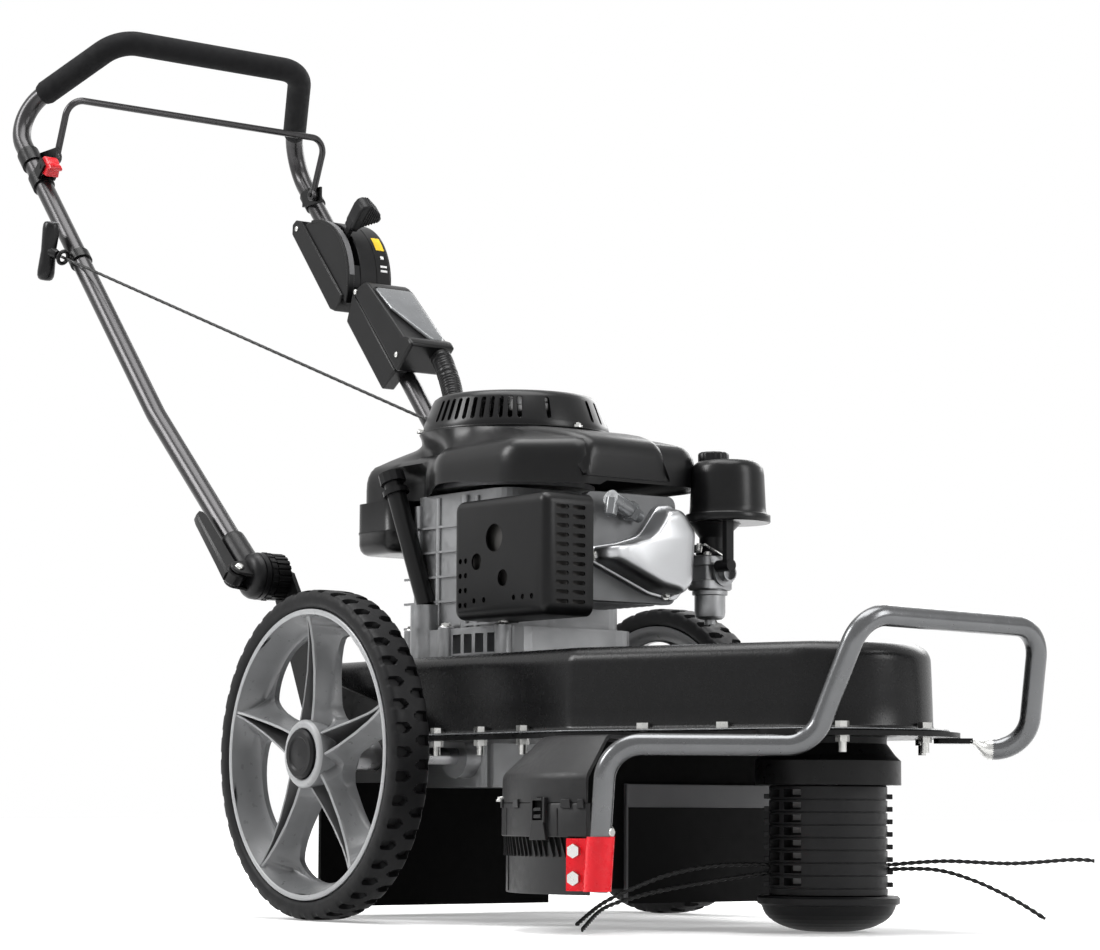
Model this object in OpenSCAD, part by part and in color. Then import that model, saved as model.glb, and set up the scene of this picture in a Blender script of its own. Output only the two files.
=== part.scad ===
// Walk-behind string trimmer: two large wheels, a deck with an upright-shaft engine,
// a belt-driven cutting head on a sliding foot, and a handle that folds at two knuckles.
// The origin is the middle of the foot under the head, on the ground. Forward is +X.

/* [Wheels] */
// Outside diameter of a tyre
wheel_d = 356; // [350:1:362]
// Width of a tyre
tyre_w = 46; // [42:1:50]
// Height of a tyre's side wall, from the rim to the tread
wall_h = 21; // [18:1:24]
// Depth of the tread pockets
tread_depth = 4; // [2:0.5:6]
// Tread pockets in one row
tread_count = 44; // [36:1:48]
// Spokes in a rim
spoke_count = 5; // [4:1:6]
// From the mid-plane to the middle of each tyre
half_track = 241; // [238:1:250]
// Diameter of the axle
axle_d = 19; // [16:1:22]

/* [Deck] */
// From the axle to the head, along the machine
head_x = 518; // [510:1:530]
// From the mid-plane to the head, to the left
head_y = 28; // [20:1:36]
// Height of the deck top
deck_top = 285; // [282:1:290]
// Height of the deck flange
deck_low = 197; // [195:1:199]
// Half width of the deck pan
deck_half_w = 150; // [146:1:156]
// Radius of the rounded nose of the pan
nose_r = 105; // [100:1:112]
// Sheet thickness of the pan
deck_wall = 3; // [2:0.5:4]
// Width of the pan's flange
flange_w = 16; // [14:1:20]
// Thickness of the base plate
base_t = 5; // [4:0.5:6]
// Thickness of the rear rubber flap
flap_t = 5; // [3:1:7]

/* [Head] */
// Radius of the head drum
drum_r = 59; // [56:1:62]
// Height of the underside of the drum
drum_low = 36; // [34:1:38]
// Height of the top of the drum
drum_top = 143; // [140:1:145]
// Rows of line pockets on the drum
pocket_rows = 8; // [6:1:9]
// Radius of the spindle housing
housing_r = 73; // [70:1:76]
// Radius of the foot's rim
foot_r = 71; // [67:1:74]
// Thickness of a cutting line
line_d = 4; // [3:0.5:5]

/* [Engine] */
// From the axle to the crankshaft
crank_x = 25; // [20:1:30]
// Diameter of the crankshaft
crank_d = 25; // [22:1:28]
// Radius of the recoil cover at its foot
recoil_r = 106; // [103:1:110]
// Height of the recoil cover
recoil_h = 43; // [38:1:46]
// Slots around the recoil cover
recoil_slots = 36; // [28:1:40]
// Length of the muffler guard
guard_l = 168; // [162:1:172]
// Height of the muffler guard
guard_h = 130; // [126:1:134]
// Depth of the muffler guard
guard_d = 64; // [60:1:66]
// Radius of the air filter canister
filter_r = 42; // [38:1:45]
// Diameter of the oil filler tube
oil_tube_d = 22; // [18:1:24]

/* [Handle] */
// Diameter of the handle tube
tube_d = 24; // [22:0.5:26]
// Wall of the handle tube
tube_wall = 2; // [1.5:0.5:3]
// Diameter over the foam grip
grip_d = 32; // [30:1:35]
// Diameter of the bail rod
bail_d = 9; // [8:0.5:10]
// Radius of the toothed knuckle discs
knuckle_r = 27; // [25:1:29]
// Length of a cam lever
cam_l = 112; // [100:1:120]
// Outside diameter of the cable conduit
conduit_d = 28; // [24:1:30]
// Diameter of the starter rope
rope_d = 4; // [3:0.5:5]

/* [Bumper] */
// Diameter of the bumper tube
bumper_d = 21; // [19:0.5:23]
// Wall of the bumper tube
bumper_wall = 2; // [1.5:0.5:3]
// Height of the bumper's top run
bumper_top = 306; // [296:1:316]

/* [Fits] */
// Running clearance on a radius
run_fit = 0.05; // [0.02:0.01:0.1]
// Air between parts that pass each other
air = 0.5; // [0.4:0.1:1]
// Clearance of a bolt in its hole
bolt_fit = 0.2; // [0.1:0.1:0.4]

/* [Hidden] */
$fn = 64;
e = 0.01;
axle_z = wheel_d / 2;
wheel_rr = wheel_d / 2;

// Rim and hub
rim_w = tyre_w - 4;
rim_r = wheel_d / 2 - wall_h;
lip_r = rim_r - 6;
ring_in = rim_r - 18;
ring_back = rim_r - 9;
dish_low = -4;
dish_back = -9;
hub_r = 37;
hub_out = 25;
hub_in = -29;
cap_r = 27;
cap_h = 8;
spoke_low = -4;
spoke_h = 19;
groove_deep = 9;
axle_tip = 2;

// Deck
crease_x = 322;
pan_back = -160;
pan_chamfer = 13;
pan_step = 5;
base_back = 70;
ear_r = 34;
ear = [590, -85];
bolt_d = 8;
hex_d = 14;
engine_bolt_l = 14;
head_h = 6;
nut_h = 6;
stud_l = 16;
flange_t = 3;
side_y = deck_half_w + flange_w / 2;
nose_a0 = -58;
nose_a1 = 84;
function nose_spot(a) = [head_x + (nose_r + flange_w / 2) * cos(a),
    head_y + (nose_r + flange_w / 2) * sin(a)];
function between(p, q, t) = p + (q - p) * t;
bolt_spots = concat([for (x = [100, 180, 255]) [x, -side_y]], [for (x = [100, 200, 300]) [x, side_y]],
    [for (t = [0.36, 0.7]) between([crease_x, -side_y], nose_spot(nose_a0), t)],
    [between([crease_x + 20, side_y], nose_spot(nose_a1), 0.45)], [for (a = [-35, 15, 80]) nose_spot(a)]);

// Head
shaft_d = 20;
housing_low = drum_top + 2;
foot_low_r = 14;
pulley_z = 236;
pulley_h = 16;
driven_r = 52;
drive_r = 36;
belt_t = 9;
belt_h = 11;
gear_z = 214;
gear_r = 38;
gear_x = -85;
gear_h = 16;
gear_shaft_r = 8;
groove_h = belt_h + 2 * air;
idler_r = 18;
idler_z = 256;
idler_t = 5;
idler_post_r = 6;
idler_share = 0.456;
idler_c = [crank_x + (head_x - crank_x) * idler_share,
    head_y * idler_share - (drive_r + (driven_r - drive_r) * idler_share) - belt_t - idler_r - 2];
idler_pivot = idler_c + [80, -38];

// Guards around the head
hood_c = [head_x - 98, head_y - 128];
hood_r = 165;
hood_a0 = 190;
hood_a1 = 293;
hood_t = 4;
hood_low = 126;
hood_in = 60;
skirt_r = hood_r - hood_t;
skirt_low = 38;
buckle_a = 262;
panel_x = 350;
panel_low = 25;
bracket_t = 4;
bracket_bolts = [54, 80];
tab_bolt_y = -12;

// Bumper
bumper_r = bumper_d / 2;
leg_out = 6.6;
leg_past = 13.6;
run_z = deck_low - base_t - bumper_r;
bumper_leg = hood_c + (skirt_r + leg_out) * [cos(hood_a1), sin(hood_a1)] +
    leg_past * [-sin(hood_a1), cos(hood_a1)];
bumper_pts = [[bumper_leg[0], bumper_leg[1], 42], [bumper_leg[0] + 14, bumper_leg[1], run_z],
    [head_x + 106, head_y - 116, run_z], [head_x + 150, head_y - 90, bumper_top],
    [head_x + 150, head_y + 148, bumper_top - 4], [head_x + 118, head_y + 162, run_z],
    [head_x + 67, head_y + 100, run_z]];
bumper_bend = 34;
bend_steps = 7;
notch_gap = 10;
plate_lip = 11;
eyelet_l = 16;
eyelet_r = 7;
tube_sides = 20;
bore_sides = 12;

// Engine, measured from the crankshaft on the deck top
base_h = 33;
case_top = 186;
case_x0 = -85;
case_x1 = 96;
case_y = 84;
bore_z = 115;
cyl_x1 = 206;
fin_y = 62;
fin_z = 60;
fin_t = 4;
fin_step = 13;
guard_x0 = 62;
guard_y0 = -66;
guard_z0 = 38;
guard_wall = 2;
shroud_low = 186;
shroud_side = 218;
shroud_top = 256;
shroud_wall = 3;
filter_x = 228;
filter_y = 122;
filter_z0 = 148;
filter_z1 = 216;

oil_foot = [-45, -90, 62];
dip_top = [-93, -104, 203];
bore_x = 30;
plug_from = [222, -6, 152];
plug_to = [240, -60, 168];
tank_low = 126;
neck = [-136, 75];
neck_r = 18;
neck_h = 58;
fly_z = 192;
fly_h = 36;
shift_x = 88;
shift_y = -22;
clasp_y = 13.5;
dome_x = 95;
dome_r = 90;
dome_top = 47;

// Handle
pivot_x = -200;
pivot_z = 385;
fork_y = deck_half_w + flange_w + 1;
fork_t = 5;
face_y = fork_y + 22;
knuckle_out = face_y + 29;
flap_x = -125;
flap_rod_z = 184;
flap_rod_r = 5;
low_y = face_y + 18;
top_y = low_y + 13;
bend_x = -425;
bend_z = 594;
back_x = -812;
back_z = 1029;
bar_x = -665;
bar_y = top_y - 80;
bar_z = 1117;
tube_r = tube_d / 2;
slope = atan2(back_z - bend_z, bend_x - back_x);
low_slope = atan2(bend_z - pivot_z, pivot_x - bend_x);
bail_x = -721;
bail_z = 963;
collar_t = 2.5;
bar_bend = 40;
socket_l = 40;
rivet_y = knuckle_out + 13;
rivet_r = 3;
cam_r = 12;
cam_half = 8;
ear_t = 4;
eye_y = top_y - 22;
eye_r = 8;
pin_r = 3;
lock_z = 929;
lock_up = 24;
guide_z = 812;
ring_out = 24;
ring_r = 8;
ring_wire = 2.5;
console_z = 930;
rope_from = [crank_x - 84, -64, deck_top + 278];

// Shared shapes

function arc(c, r, a0, a1, n) =
    [for (i = [0 : n]) [c[0] + r * cos(a0 + (a1 - a0) * i / n), c[1] + r * sin(a0 + (a1 - a0) * i / n)]];

function rounded(w, d, r) = concat(
    arc([w / 2 - r, d / 2 - r], r, 0, 90, 6), arc([r - w / 2, d / 2 - r], r, 90, 180, 6),
    arc([r - w / 2, r - d / 2], r, 180, 270, 6), arc([w / 2 - r, r - d / 2], r, 270, 360, 6));

function unit(v) = v / norm(v);

// Moves from axle-centred machine places to the head-centred origin
module machine() {
    translate([-head_x, -head_y, 0]) children();
}

// Engine places: on the crankshaft axis, on the deck top
module engine() {
    machine() translate([crank_x, 0, deck_top]) children();
}

module slab(w, d, h, r) {
    linear_extrude(h) polygon(rounded(w, d, r));
}

module ring(r1, r0, h) {
    difference() {
        cylinder(r = r1, h = h);
        translate([0, 0, -e]) cylinder(r = r0, h = h + 2 * e);
    }
}

// Puts a shape that points up its own Z on a line from a towards b
module aim(a, b) {
    d = unit(b - a);
    side = abs(d[2]) > 0.99 ? [1, 0, 0] : unit(cross([0, 0, 1], d));
    up = cross(d, side);
    multmatrix([[side[0], up[0], d[0], a[0]], [side[1], up[1], d[1], a[1]], [side[2], up[2], d[2], a[2]]])
        children();
}

// Centre line through corner points, with each corner rounded by n short steps
function corner(p, a, b, r, n) =
    let (turn = acos(a * b), q = unit(b - (a * b) * a), c = p - a * r * tan(turn / 2) + q * r,
        m = max(1, ceil(n * turn / 90)))
    [for (k = [0 : m]) c + r * (sin(turn * k / m) * a - cos(turn * k / m) * q)];
function bent_line(pts, r, n) =
    let (last = len(pts) - 1, d = [for (i = [0 : last - 1]) unit(pts[i + 1] - pts[i])])
    concat([pts[0]], [for (i = [1 : last - 1]) for (p = corner(pts[i], d[i - 1], d[i], r, n)) p],
        [pts[last]]);

// Side directions carried along a line without twist
function carried(t, i, u) =
    i == len(t) ? [] : let (v = unit(u - (u * t[i]) * t[i])) concat([v], carried(t, i + 1, v));

// Rings of points along a line, radius given for every ring
function rings(pts, radii, sides) =
    let (last = len(pts) - 1, tang = [for (i = [0 : last])
        unit(pts[min(i + 1, last)] - pts[max(i - 1, 0)])],
        u = carried(tang, 0, cross(tang[0], abs(tang[0][2]) > 0.8 ? [1, 0, 0] : [0, 0, 1])))
    [for (i = [0 : last]) for (k = [0 : sides - 1])
        pts[i] + radii[i] * (cos(360 * k / sides) * u[i] + sin(360 * k / sides) * cross(tang[i], u[i]))];
function walls(rows, sides, from) = [for (i = [0 : rows - 2]) for (k = [0 : sides - 1])
    let (n = (k + 1) % sides)
    [from + (i + 1) * sides + k, from + (i + 1) * sides + n, from + i * sides + n, from + i * sides + k]];
function turned(faces) = [for (f = faces) [f[3], f[2], f[1], f[0]]];

// A round section swept along points
module sweep(pts, radii, sides) {
    top = (len(pts) - 1) * sides;
    ends = [[for (k = [0 : sides - 1]) k], [for (k = [sides - 1 : -1 : 0]) top + k]];
    polyhedron(rings(pts, radii, sides), concat(walls(len(pts), sides, 0), ends), convexity = 6);
}

// The same with a bore of radius r0 open at both ends
module pipe(pts, r1, r0, sides) {
    rows = len(pts);
    top = (rows - 1) * sides;
    in = rows * sides;
    first = [for (k = [0 : sides - 1]) let (n = (k + 1) % sides) [k, n, in + n, in + k]];
    far = [for (k = [0 : sides - 1]) let (n = (k + 1) % sides) [top + n, top + k, in + top + k, in + top
        + n]];
    polyhedron(concat(rings(pts, [for (p = pts) r1], sides), rings(pts, [for (p = pts) r0], sides)),
        concat(walls(rows, sides, 0), turned(walls(rows, sides, in)), first, far), convexity = 6);
}

// A round bar bent through corner points
module bent_bar(pts, r, bend_r, sides) {
    line = bent_line(pts, bend_r, bend_steps);
    sweep(line, [for (p = line) r], sides);
}

// The same with a bore
module bent_tube(pts, r, wall, bend_r, sides) {
    pipe(bent_line(pts, bend_r, bend_steps), r, r - wall, sides);
}

// Outline of a belt run around two pulleys
function belt_path(c1, r1, c2, r2) =
    let (d = norm(c2 - c1), base = atan2(c2[1] - c1[1], c2[0] - c1[0]), open = acos((r1 - r2) / d))
    concat(arc(c1, r1, base + open, base + 360 - open, 24), arc(c2, r2, base - open, base + open, 24));

// Wheels, built with the axle up and the outer face at the top

module wheel_place(side) {
    machine() translate([0, side * half_track, axle_z]) rotate([-side * 90, 0, 0]) children();
}

module rim_shape() {
    difference() {
        union() {
            rotate_extrude($fn = 96) polygon([[rim_r, -rim_w / 2], [rim_r, rim_w / 2], [lip_r, rim_w / 2],
                [ring_in, dish_low + spoke_h - 3], [ring_in, dish_back], [ring_back, -rim_w / 2]]);
            for (k = [0 : spoke_count - 1]) rotate(360 * k / spoke_count) spoke();
            translate([0, 0, hub_in]) cylinder(r = hub_r - 5, h = hub_out - hub_in - 9);
            translate([0, 0, spoke_low - 3]) cylinder(r = hub_r, h = hub_out - spoke_low + 3);
        }
        translate([0, 0, hub_in - e]) cylinder(d = axle_d + 2 * run_fit, h = hub_out - hub_in + 2 * e);
        translate([0, 0, hub_out - 5]) cylinder(r = cap_r, h = 5 + e);
    }
}

module spoke() {
    foot = ring_in + 6.5;
    difference() {
        translate([0, 0, spoke_low]) linear_extrude(spoke_h)
            polygon([[hub_r - 12, -15], [hub_r + 30, -14], [foot - 32, -19], [foot - 12, -29],
                [foot - 3, -42],
                [foot, 0], [foot - 3, 42], [foot - 12, 29], [foot - 32, 19], [hub_r + 30, 14],
                    [hub_r - 12, 15]]);
        translate([0, 0, spoke_low + spoke_h - groove_deep]) linear_extrude(groove_deep + e)
            polygon([[hub_r + 4, -7], [foot - 16, -1.5], [foot - 16, 1.5], [hub_r + 4, 7]]);
        for (s = [-1, 1]) translate([0, 0, spoke_low + spoke_h - 5]) linear_extrude(5 + e)
            polygon([[hub_r + 4, s * 11], [hub_r + 30, s * 8], [foot - 30, s * 6], [foot + 5, s * 9],
                [foot + 5, s * 60], [hub_r + 4, s * 60]]);
    }
}

module tyre_shape() {
    half = tyre_w / 2;
    row = half - 12;
    difference() {
        rotate_extrude($fn = 96) polygon([[rim_r, 5 - half], [rim_r + 5, -half], [wheel_rr - 7, -half],
            [wheel_rr - 1.5, 3 - half], [wheel_rr, 8 - half], [wheel_rr, half - 8],
                [wheel_rr - 1.5, half - 3],
            [wheel_rr - 7, half], [rim_r + 5, half], [rim_r, half - 5]]);
        for (s = [-1, 1]) for (k = [0 : tread_count - 1])
            rotate(360 * (k + s / 4) / tread_count) translate([wheel_rr - tread_depth, 0, s * row])
                rotate([90, 0, 90]) linear_extrude(tread_depth + 1)
                    polygon([[-9, 0], [-5, 6.5], [5, 6.5], [9, 0], [5, -6.5], [-5, -6.5]]);
    }
}

module cap_shape() {
    translate([0, 0, hub_out - 5]) rotate_extrude()
        polygon([[0, 0], [cap_r - 0.2, 0], [cap_r - 0.2, 7], [cap_r - 3, 9.5], [cap_r - 8, 9.5],
            [cap_r - 10, cap_h], [0, cap_h + 1]]);
}

module rim_right() {
    color("#77797c") wheel_place(-1) rim_shape();
}

module rim_left() {
    color("#77797c") wheel_place(1) rim_shape();
}

module tyre_right() {
    color("#161616") wheel_place(-1) tyre_shape();
}

module tyre_left() {
    color("#161616") wheel_place(1) tyre_shape();
}

module hub_cap_right() {
    color("#5c5f63") wheel_place(-1) cap_shape();
}

module hub_cap_left() {
    color("#5c5f63") wheel_place(1) cap_shape();
}

// The axle ends inside the hub, behind the cap
module axle() {
    reach = half_track + hub_out - 5 - axle_tip;
    collar = half_track + hub_in - air - fork_y - fork_t;
    color("#9a9a9a") machine() {
        translate([0, -reach, axle_z]) rotate([-90, 0, 0]) cylinder(d = axle_d, h = 2 * reach);
        for (s = [-1, 1]) translate([0, s * (fork_y + fork_t), axle_z]) rotate([-s * 90, 0, 0])
            cylinder(d = axle_d + 14, h = collar);
    }
}

module gearbox() {
    low = axle_z - 34;
    high = gear_z - 4;
    color("#8d8f92") machine() difference() {
        union() {
            translate([-40, 0, low]) slab(140, 92, high - low, 14);
            for (s = [-1, 1]) translate([0, s * 44, axle_z]) rotate([-s * 90, 0, 0])
                cylinder(r = 24, h = 20);
        }
        translate([0, -80, axle_z]) rotate([-90, 0, 0]) cylinder(d = axle_d, h = 160);
        translate([gear_x, 0, high - 30]) cylinder(r = gear_shaft_r + run_fit, h = 100);
    }
}

// Deck

function pan(grow) = concat(
    arc([head_x, head_y], nose_r + grow, nose_a0, nose_a1, 20),
    [[crease_x + 20, deck_half_w + grow], [pan_back + 20, deck_half_w + grow]],
    arc([pan_back + 20, deck_half_w - 20 + grow], 20, 100, 180, 4),
    arc([pan_back + 20, 20 - deck_half_w - grow], 20, 180, 260, 4),
    [[pan_back + 20, -deck_half_w - grow], [crease_x, -deck_half_w - grow]]);

module deck_shell() {
    // The idler turns on a post under the top
    side_h = deck_top - pan_chamfer - deck_low;
    color("#141414") machine() difference() {
        union() {
            translate([0, 0, deck_low]) linear_extrude(side_h) polygon(pan(0));
            hull() {
                translate([0, 0, deck_low + side_h - e]) linear_extrude(e) polygon(pan(0));
                translate([0, 0, deck_top - pan_step]) linear_extrude(e) polygon(pan(-4));
                translate([0, 0, deck_top - e]) linear_extrude(e) polygon(pan(-pan_chamfer));
            }
            translate([0, 0, deck_low]) linear_extrude(flange_t) polygon(pan(flange_w));
        }
        translate([0, 0, deck_low - e]) linear_extrude(deck_top - deck_wall - deck_low - pan_step)
            polygon(pan(-deck_wall));
        translate([0, 0, deck_low]) linear_extrude(deck_top - deck_wall - deck_low)
            polygon(pan(-deck_wall - pan_chamfer));
        translate([crank_x, 0, deck_low]) cylinder(r = crank_d / 2 + 8, h = 100);
        for (p = bolt_spots) translate([p[0], p[1], deck_low - 1])
            cylinder(d = bolt_d + 2 * bolt_fit, h = 9);
        for (p = engine_bolts()) translate([p[0], p[1], deck_low])
            cylinder(d = bolt_d + 2 * bolt_fit, h = 100);
    }
    color("#141414") machine() translate([idler_pivot[0], idler_pivot[1], idler_z - 4])
        cylinder(r = idler_post_r, h = deck_top - deck_wall - idler_z + 4);
}

function engine_bolts() = [for (a = [40, 140, 220, 320]) [crank_x + 95 * cos(a), 82 * sin(a)]];

module base_plate() {
    color("#1a1a1a") machine() translate([0, 0, deck_low - base_t]) difference() {
        linear_extrude(base_t) union() {
            intersection() {
                polygon(pan(flange_w));
                translate([base_back, -400]) square([800, 800]);
            }
            intersection() {
                translate([head_x, head_y]) circle(nose_r + flange_w + plate_lip);
                translate([base_back, -deck_half_w - flange_w])
                    square([2 * head_x, 2 * (deck_half_w + flange_w)]);
            }
            translate(ear) circle(ear_r);
        }
        translate([head_x, head_y, -e]) cylinder(r = shaft_d / 2 + 12, h = base_t + 2 * e);
        for (p = bolt_spots) translate([p[0], p[1], -e]) cylinder(d = bolt_d + 2 * bolt_fit, h = base_t
            + 1);
        translate([0, 0, base_t - deck_low]) aim(bumper_pts[2], bumper_pts[3])
            translate([0, 0, -12]) cylinder(r = bumper_r + notch_gap, h = 60);
    }
}

// Hexagon bolts through the flange, with nuts below, and the engine's bolts
module deck_bolts() {
    color("#b9bcc0") machine() {
        for (p = bolt_spots) translate([p[0], p[1], 0]) {
            translate([0, 0, deck_low + flange_t]) cylinder(d = hex_d, h = head_h, $fn = 6);
            translate([0, 0, deck_low - base_t - stud_l]) cylinder(d = bolt_d, h = flange_t + base_t +
                stud_l);
            translate([0, 0, deck_low - base_t - nut_h]) cylinder(d = hex_d, h = nut_h, $fn = 6);
        }
        for (p = engine_bolts()) translate([p[0], p[1], deck_top - deck_wall]) {
            translate([0, 0, -nut_h]) cylinder(d = hex_d, h = nut_h, $fn = 6);
            translate([0, 0, -nut_h]) cylinder(d = bolt_d, h = nut_h + deck_wall + engine_bolt_l);
        }
        translate([hood_c[0], hood_c[1], 0]) rotate(hood_a1)
            for (z = bracket_bolts) translate([skirt_r + bracket_t, tab_bolt_y, z]) rotate([0, 90, 0])
                cylinder(d = hex_d, h = 5, $fn = 6);
    }
}

// Side plates that carry the axle, the flap rod and the fixed half of each knuckle
module frame_brackets() {
    disc_h = face_y - air / 2 - fork_y - fork_t;
    color("#1d1d1f") machine() for (s = [-1, 1]) {
        translate([0, s * (fork_y + fork_t / 2) + fork_t / 2, 0]) rotate([90, 0, 0])
            linear_extrude(fork_t)
            difference() {
                polygon([[-36, axle_z - 30], [36, axle_z - 30], [70, deck_low + 20], [20, deck_low + 34],
                    [-90, deck_low + 64], [pivot_x + 24, pivot_z + 4], [pivot_x - 10, pivot_z + 14],
                    [pivot_x - 16, pivot_z - 12], [-146, deck_low + 30], [-146, flap_rod_z - 12],
                    [-80, flap_rod_z - 12]]);
                translate([0, axle_z]) circle(d = axle_d);
                translate([pivot_x, pivot_z]) circle(d = bolt_d + 2 * bolt_fit);
            }
        translate([-40, s > 0 ? deck_half_w : -fork_y, deck_low + flange_t])
            cube([100, fork_y - deck_half_w, 5]);
        translate([pivot_x, s * (fork_y + fork_t), pivot_z]) rotate([-s * 90, 0, 0]) difference() {
            cylinder(r = knuckle_r, h = disc_h);
            translate([0, 0, -1]) cylinder(d = bolt_d + 2 * bolt_fit, h = disc_h + 2);
            disc_teeth(disc_h);
        }
    }
}

// Notches around a knuckle disc
module disc_teeth(h) {
    for (k = [0 : 23]) rotate(15 * k) translate([knuckle_r, 0, -1])
        cylinder(r = 1.6, h = h + 2, $fn = 12);
}

// Guards around the head

module hood_place() {
    machine() translate([hood_c[0], hood_c[1], 0]) children();
}

module hood_arc() {
    rotate(hood_a0) rotate_extrude(angle = hood_a1 - hood_a0, $fn = 96) children();
}

module debris_hood() {
    top = deck_low - base_t;
    color("#17181a") hood_place() hood_arc()
        polygon([[hood_in, top - hood_t], [hood_in, top], [hood_r - 42, top], [hood_r, top - 40],
            [hood_r, hood_low], [skirt_r, hood_low], [skirt_r, top - 38 - hood_t],
                [hood_r - 44, top - hood_t]]);
}

// Lower shield with a strap, a buckle and a row of teeth
module shield_skirt() {
    color("#1b1c1e") hood_place() {
        hood_arc() polygon([[skirt_r - 4, skirt_low], [skirt_r, skirt_low], [skirt_r, hood_low + 6],
            [skirt_r - 4, hood_low + 6]]);
        hood_arc() polygon([[skirt_r - 1, hood_low - 33], [skirt_r + 4, hood_low - 33],
            [skirt_r + 4, hood_low - 1],
            [skirt_r - 1, hood_low - 1]]);
        rotate(buckle_a) translate([skirt_r, -9, hood_low - 35]) cube([9, 18, 33]);
        for (a = [hood_a0 + 5 : 4.6 : hood_a1 - 10]) rotate(a) translate([skirt_r - 1, 0, hood_low - 52])
            rotate([90, 0, 90]) linear_extrude(4) polygon([[-6, 18], [6, 18], [-6, 0]]);
    }
}

module back_panel() {
    color("#202123") machine() {
        translate([panel_x, hood_c[1], panel_low]) cube([4, 260, deck_low - base_t - panel_low]);
        translate([panel_x + 4 - e, hood_c[1], 122]) cube([3, 260, 24]);
        translate([panel_x - 20, hood_c[1], deck_low - base_t - 3]) cube([20 + e, 260, 3]);
    }
}

module rear_flap() {
    half = fork_y - 6;
    color("#0d0d0d") machine() {
        translate([flap_x - flap_t / 2, -half, 10]) cube([flap_t, 2 * half, flap_rod_z - 10]);
        translate([flap_x, -fork_y, flap_rod_z]) rotate([-90, 0, 0])
            cylinder(r = flap_rod_r, h = 2 * fork_y);
    }
}

module bumper_bar() {
    color("#8b8d90") machine() bent_tube(bumper_pts, bumper_r, bumper_wall, bumper_bend, tube_sides);
}

// Clamp at the lower end of the bumper
module bumper_bracket() {
    color("#c8141c") {
        machine() aim(bumper_pts[0], bumper_pts[1]) ring(bumper_r + 3, bumper_r + bolt_fit, 52);
        hood_place() rotate(hood_a1) translate([skirt_r, -22, 42]) cube([bracket_t, 24, 50]);
    }
}

// Head

module spindle_housing() {
    top = deck_low - base_t;
    inner = shaft_d / 2 + run_fit;
    color("#151515") rotate_extrude()
        polygon([[inner, housing_low + 4], [housing_r - 12, housing_low + 4],
        [housing_r - 12, housing_low], [housing_r, housing_low], [housing_r, housing_low + 24],
        [housing_r - 6, housing_low + 30], [housing_r - 14, top - 6], [housing_r - 14, top],
            [inner, top]]);
}

module spindle_shaft() {
    color("#a5a7a9") translate([0, 0, drum_low - 20]) cylinder(d = shaft_d, h = pulley_z + pulley_h +
        6 - drum_low + 20);
}

module pulley(r, bore) {
    rim = r + belt_t - 1;
    rotate_extrude() polygon([[bore, 0], [rim, 0], [rim, 2], [r, 2], [r, 2 + groove_h],
        [rim, 2 + groove_h],
        [rim, 4 + groove_h], [bore, 4 + groove_h]]);
}

module driven_pulley() {
    color("#7d7f82") translate([0, 0, pulley_z]) pulley(driven_r, shaft_d / 2);
}

module belts() {
    slack = air;
    color("#1e1e1e") machine() {
        translate([0, 0, pulley_z + 2 + air]) linear_extrude(belt_h) difference() {
            polygon(belt_path([crank_x, 0], drive_r + slack + belt_t, [head_x, head_y],
                driven_r + slack + belt_t));
            polygon(belt_path([crank_x, 0], drive_r + slack, [head_x, head_y], driven_r + slack));
        }
        translate([0, 0, gear_z + 2 + air]) linear_extrude(belt_h) difference() {
            polygon(belt_path([crank_x, 0], drive_r + slack + belt_t, [gear_x, 0],
                gear_r + slack + belt_t));
            polygon(belt_path([crank_x, 0], drive_r + slack, [gear_x, 0], gear_r + slack));
        }
    }
}

// Drum with rows of line pockets and a comb of pegs between them
module trim_head() {
    h = drum_top - drum_low;
    row = h / (pocket_rows + 0.6);
    color("#131314") difference() {
        union() {
            translate([0, 0, drum_low]) cylinder(r = drum_r, h = h);
            for (k = [0 : pocket_rows - 1]) for (a = [30 : 90 : 300]) rotate(a)
                translate([drum_r - 3, 0, drum_low + row * (k + 0.8)]) rotate([0, 90, 0])
                    cylinder(r = 3.5, h = 8, $fn = 24);
        }
        translate([0, 0, drum_low - e]) cylinder(d = shaft_d, h = h + 2 * e);
        for (k = [0 : pocket_rows - 1]) translate([0, 0, drum_low + row * (k + 0.55)]) {
            ring(drum_r + 1, drum_r - 1.5, 1.2);
            for (a = [75 : 90 : 345]) rotate(a) translate([drum_r - 9, -13, 2.5]) cube([12, 26, row - 4]);
        }
    }
}

module mow_ball() {
    top = drum_low - air;
    color("#0f0f10") rotate_extrude() polygon(concat(
        [[0, 0], [foot_low_r, 0]],
        [for (i = [1 : 8]) [foot_low_r + (foot_r - 5 - foot_low_r) * sin(90 * i / 9),
            26 * (1 - cos(90 * i / 9))]],
        [[foot_r - 4, 26], [foot_r, 28], [foot_r, top - 2], [foot_r - 2, top],
            [shaft_d / 2 + run_fit, top],
         [shaft_d / 2 + run_fit, drum_low - 20 - air], [0, drum_low - 20 - air]]));
}

// Smooth points through a chain of guide points
function mid(p, i, t) =
    let (a = p[max(i - 1, 0)], b = p[i], c = p[i + 1], d = p[min(i + 2, len(p) - 1)])
    0.5 * (2 * b + (c - a) * t + (2 * a - 5 * b + 4 * c - d) * t * t + (3 * b - a - 3 * c + d)
        * t * t * t);
function smooth(p, n) = concat([for (i = [0 : len(p) - 2]) for (k = [0 : n - 1]) mid(p, i, k / n)],
    [p[len(p) - 1]]);

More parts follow.
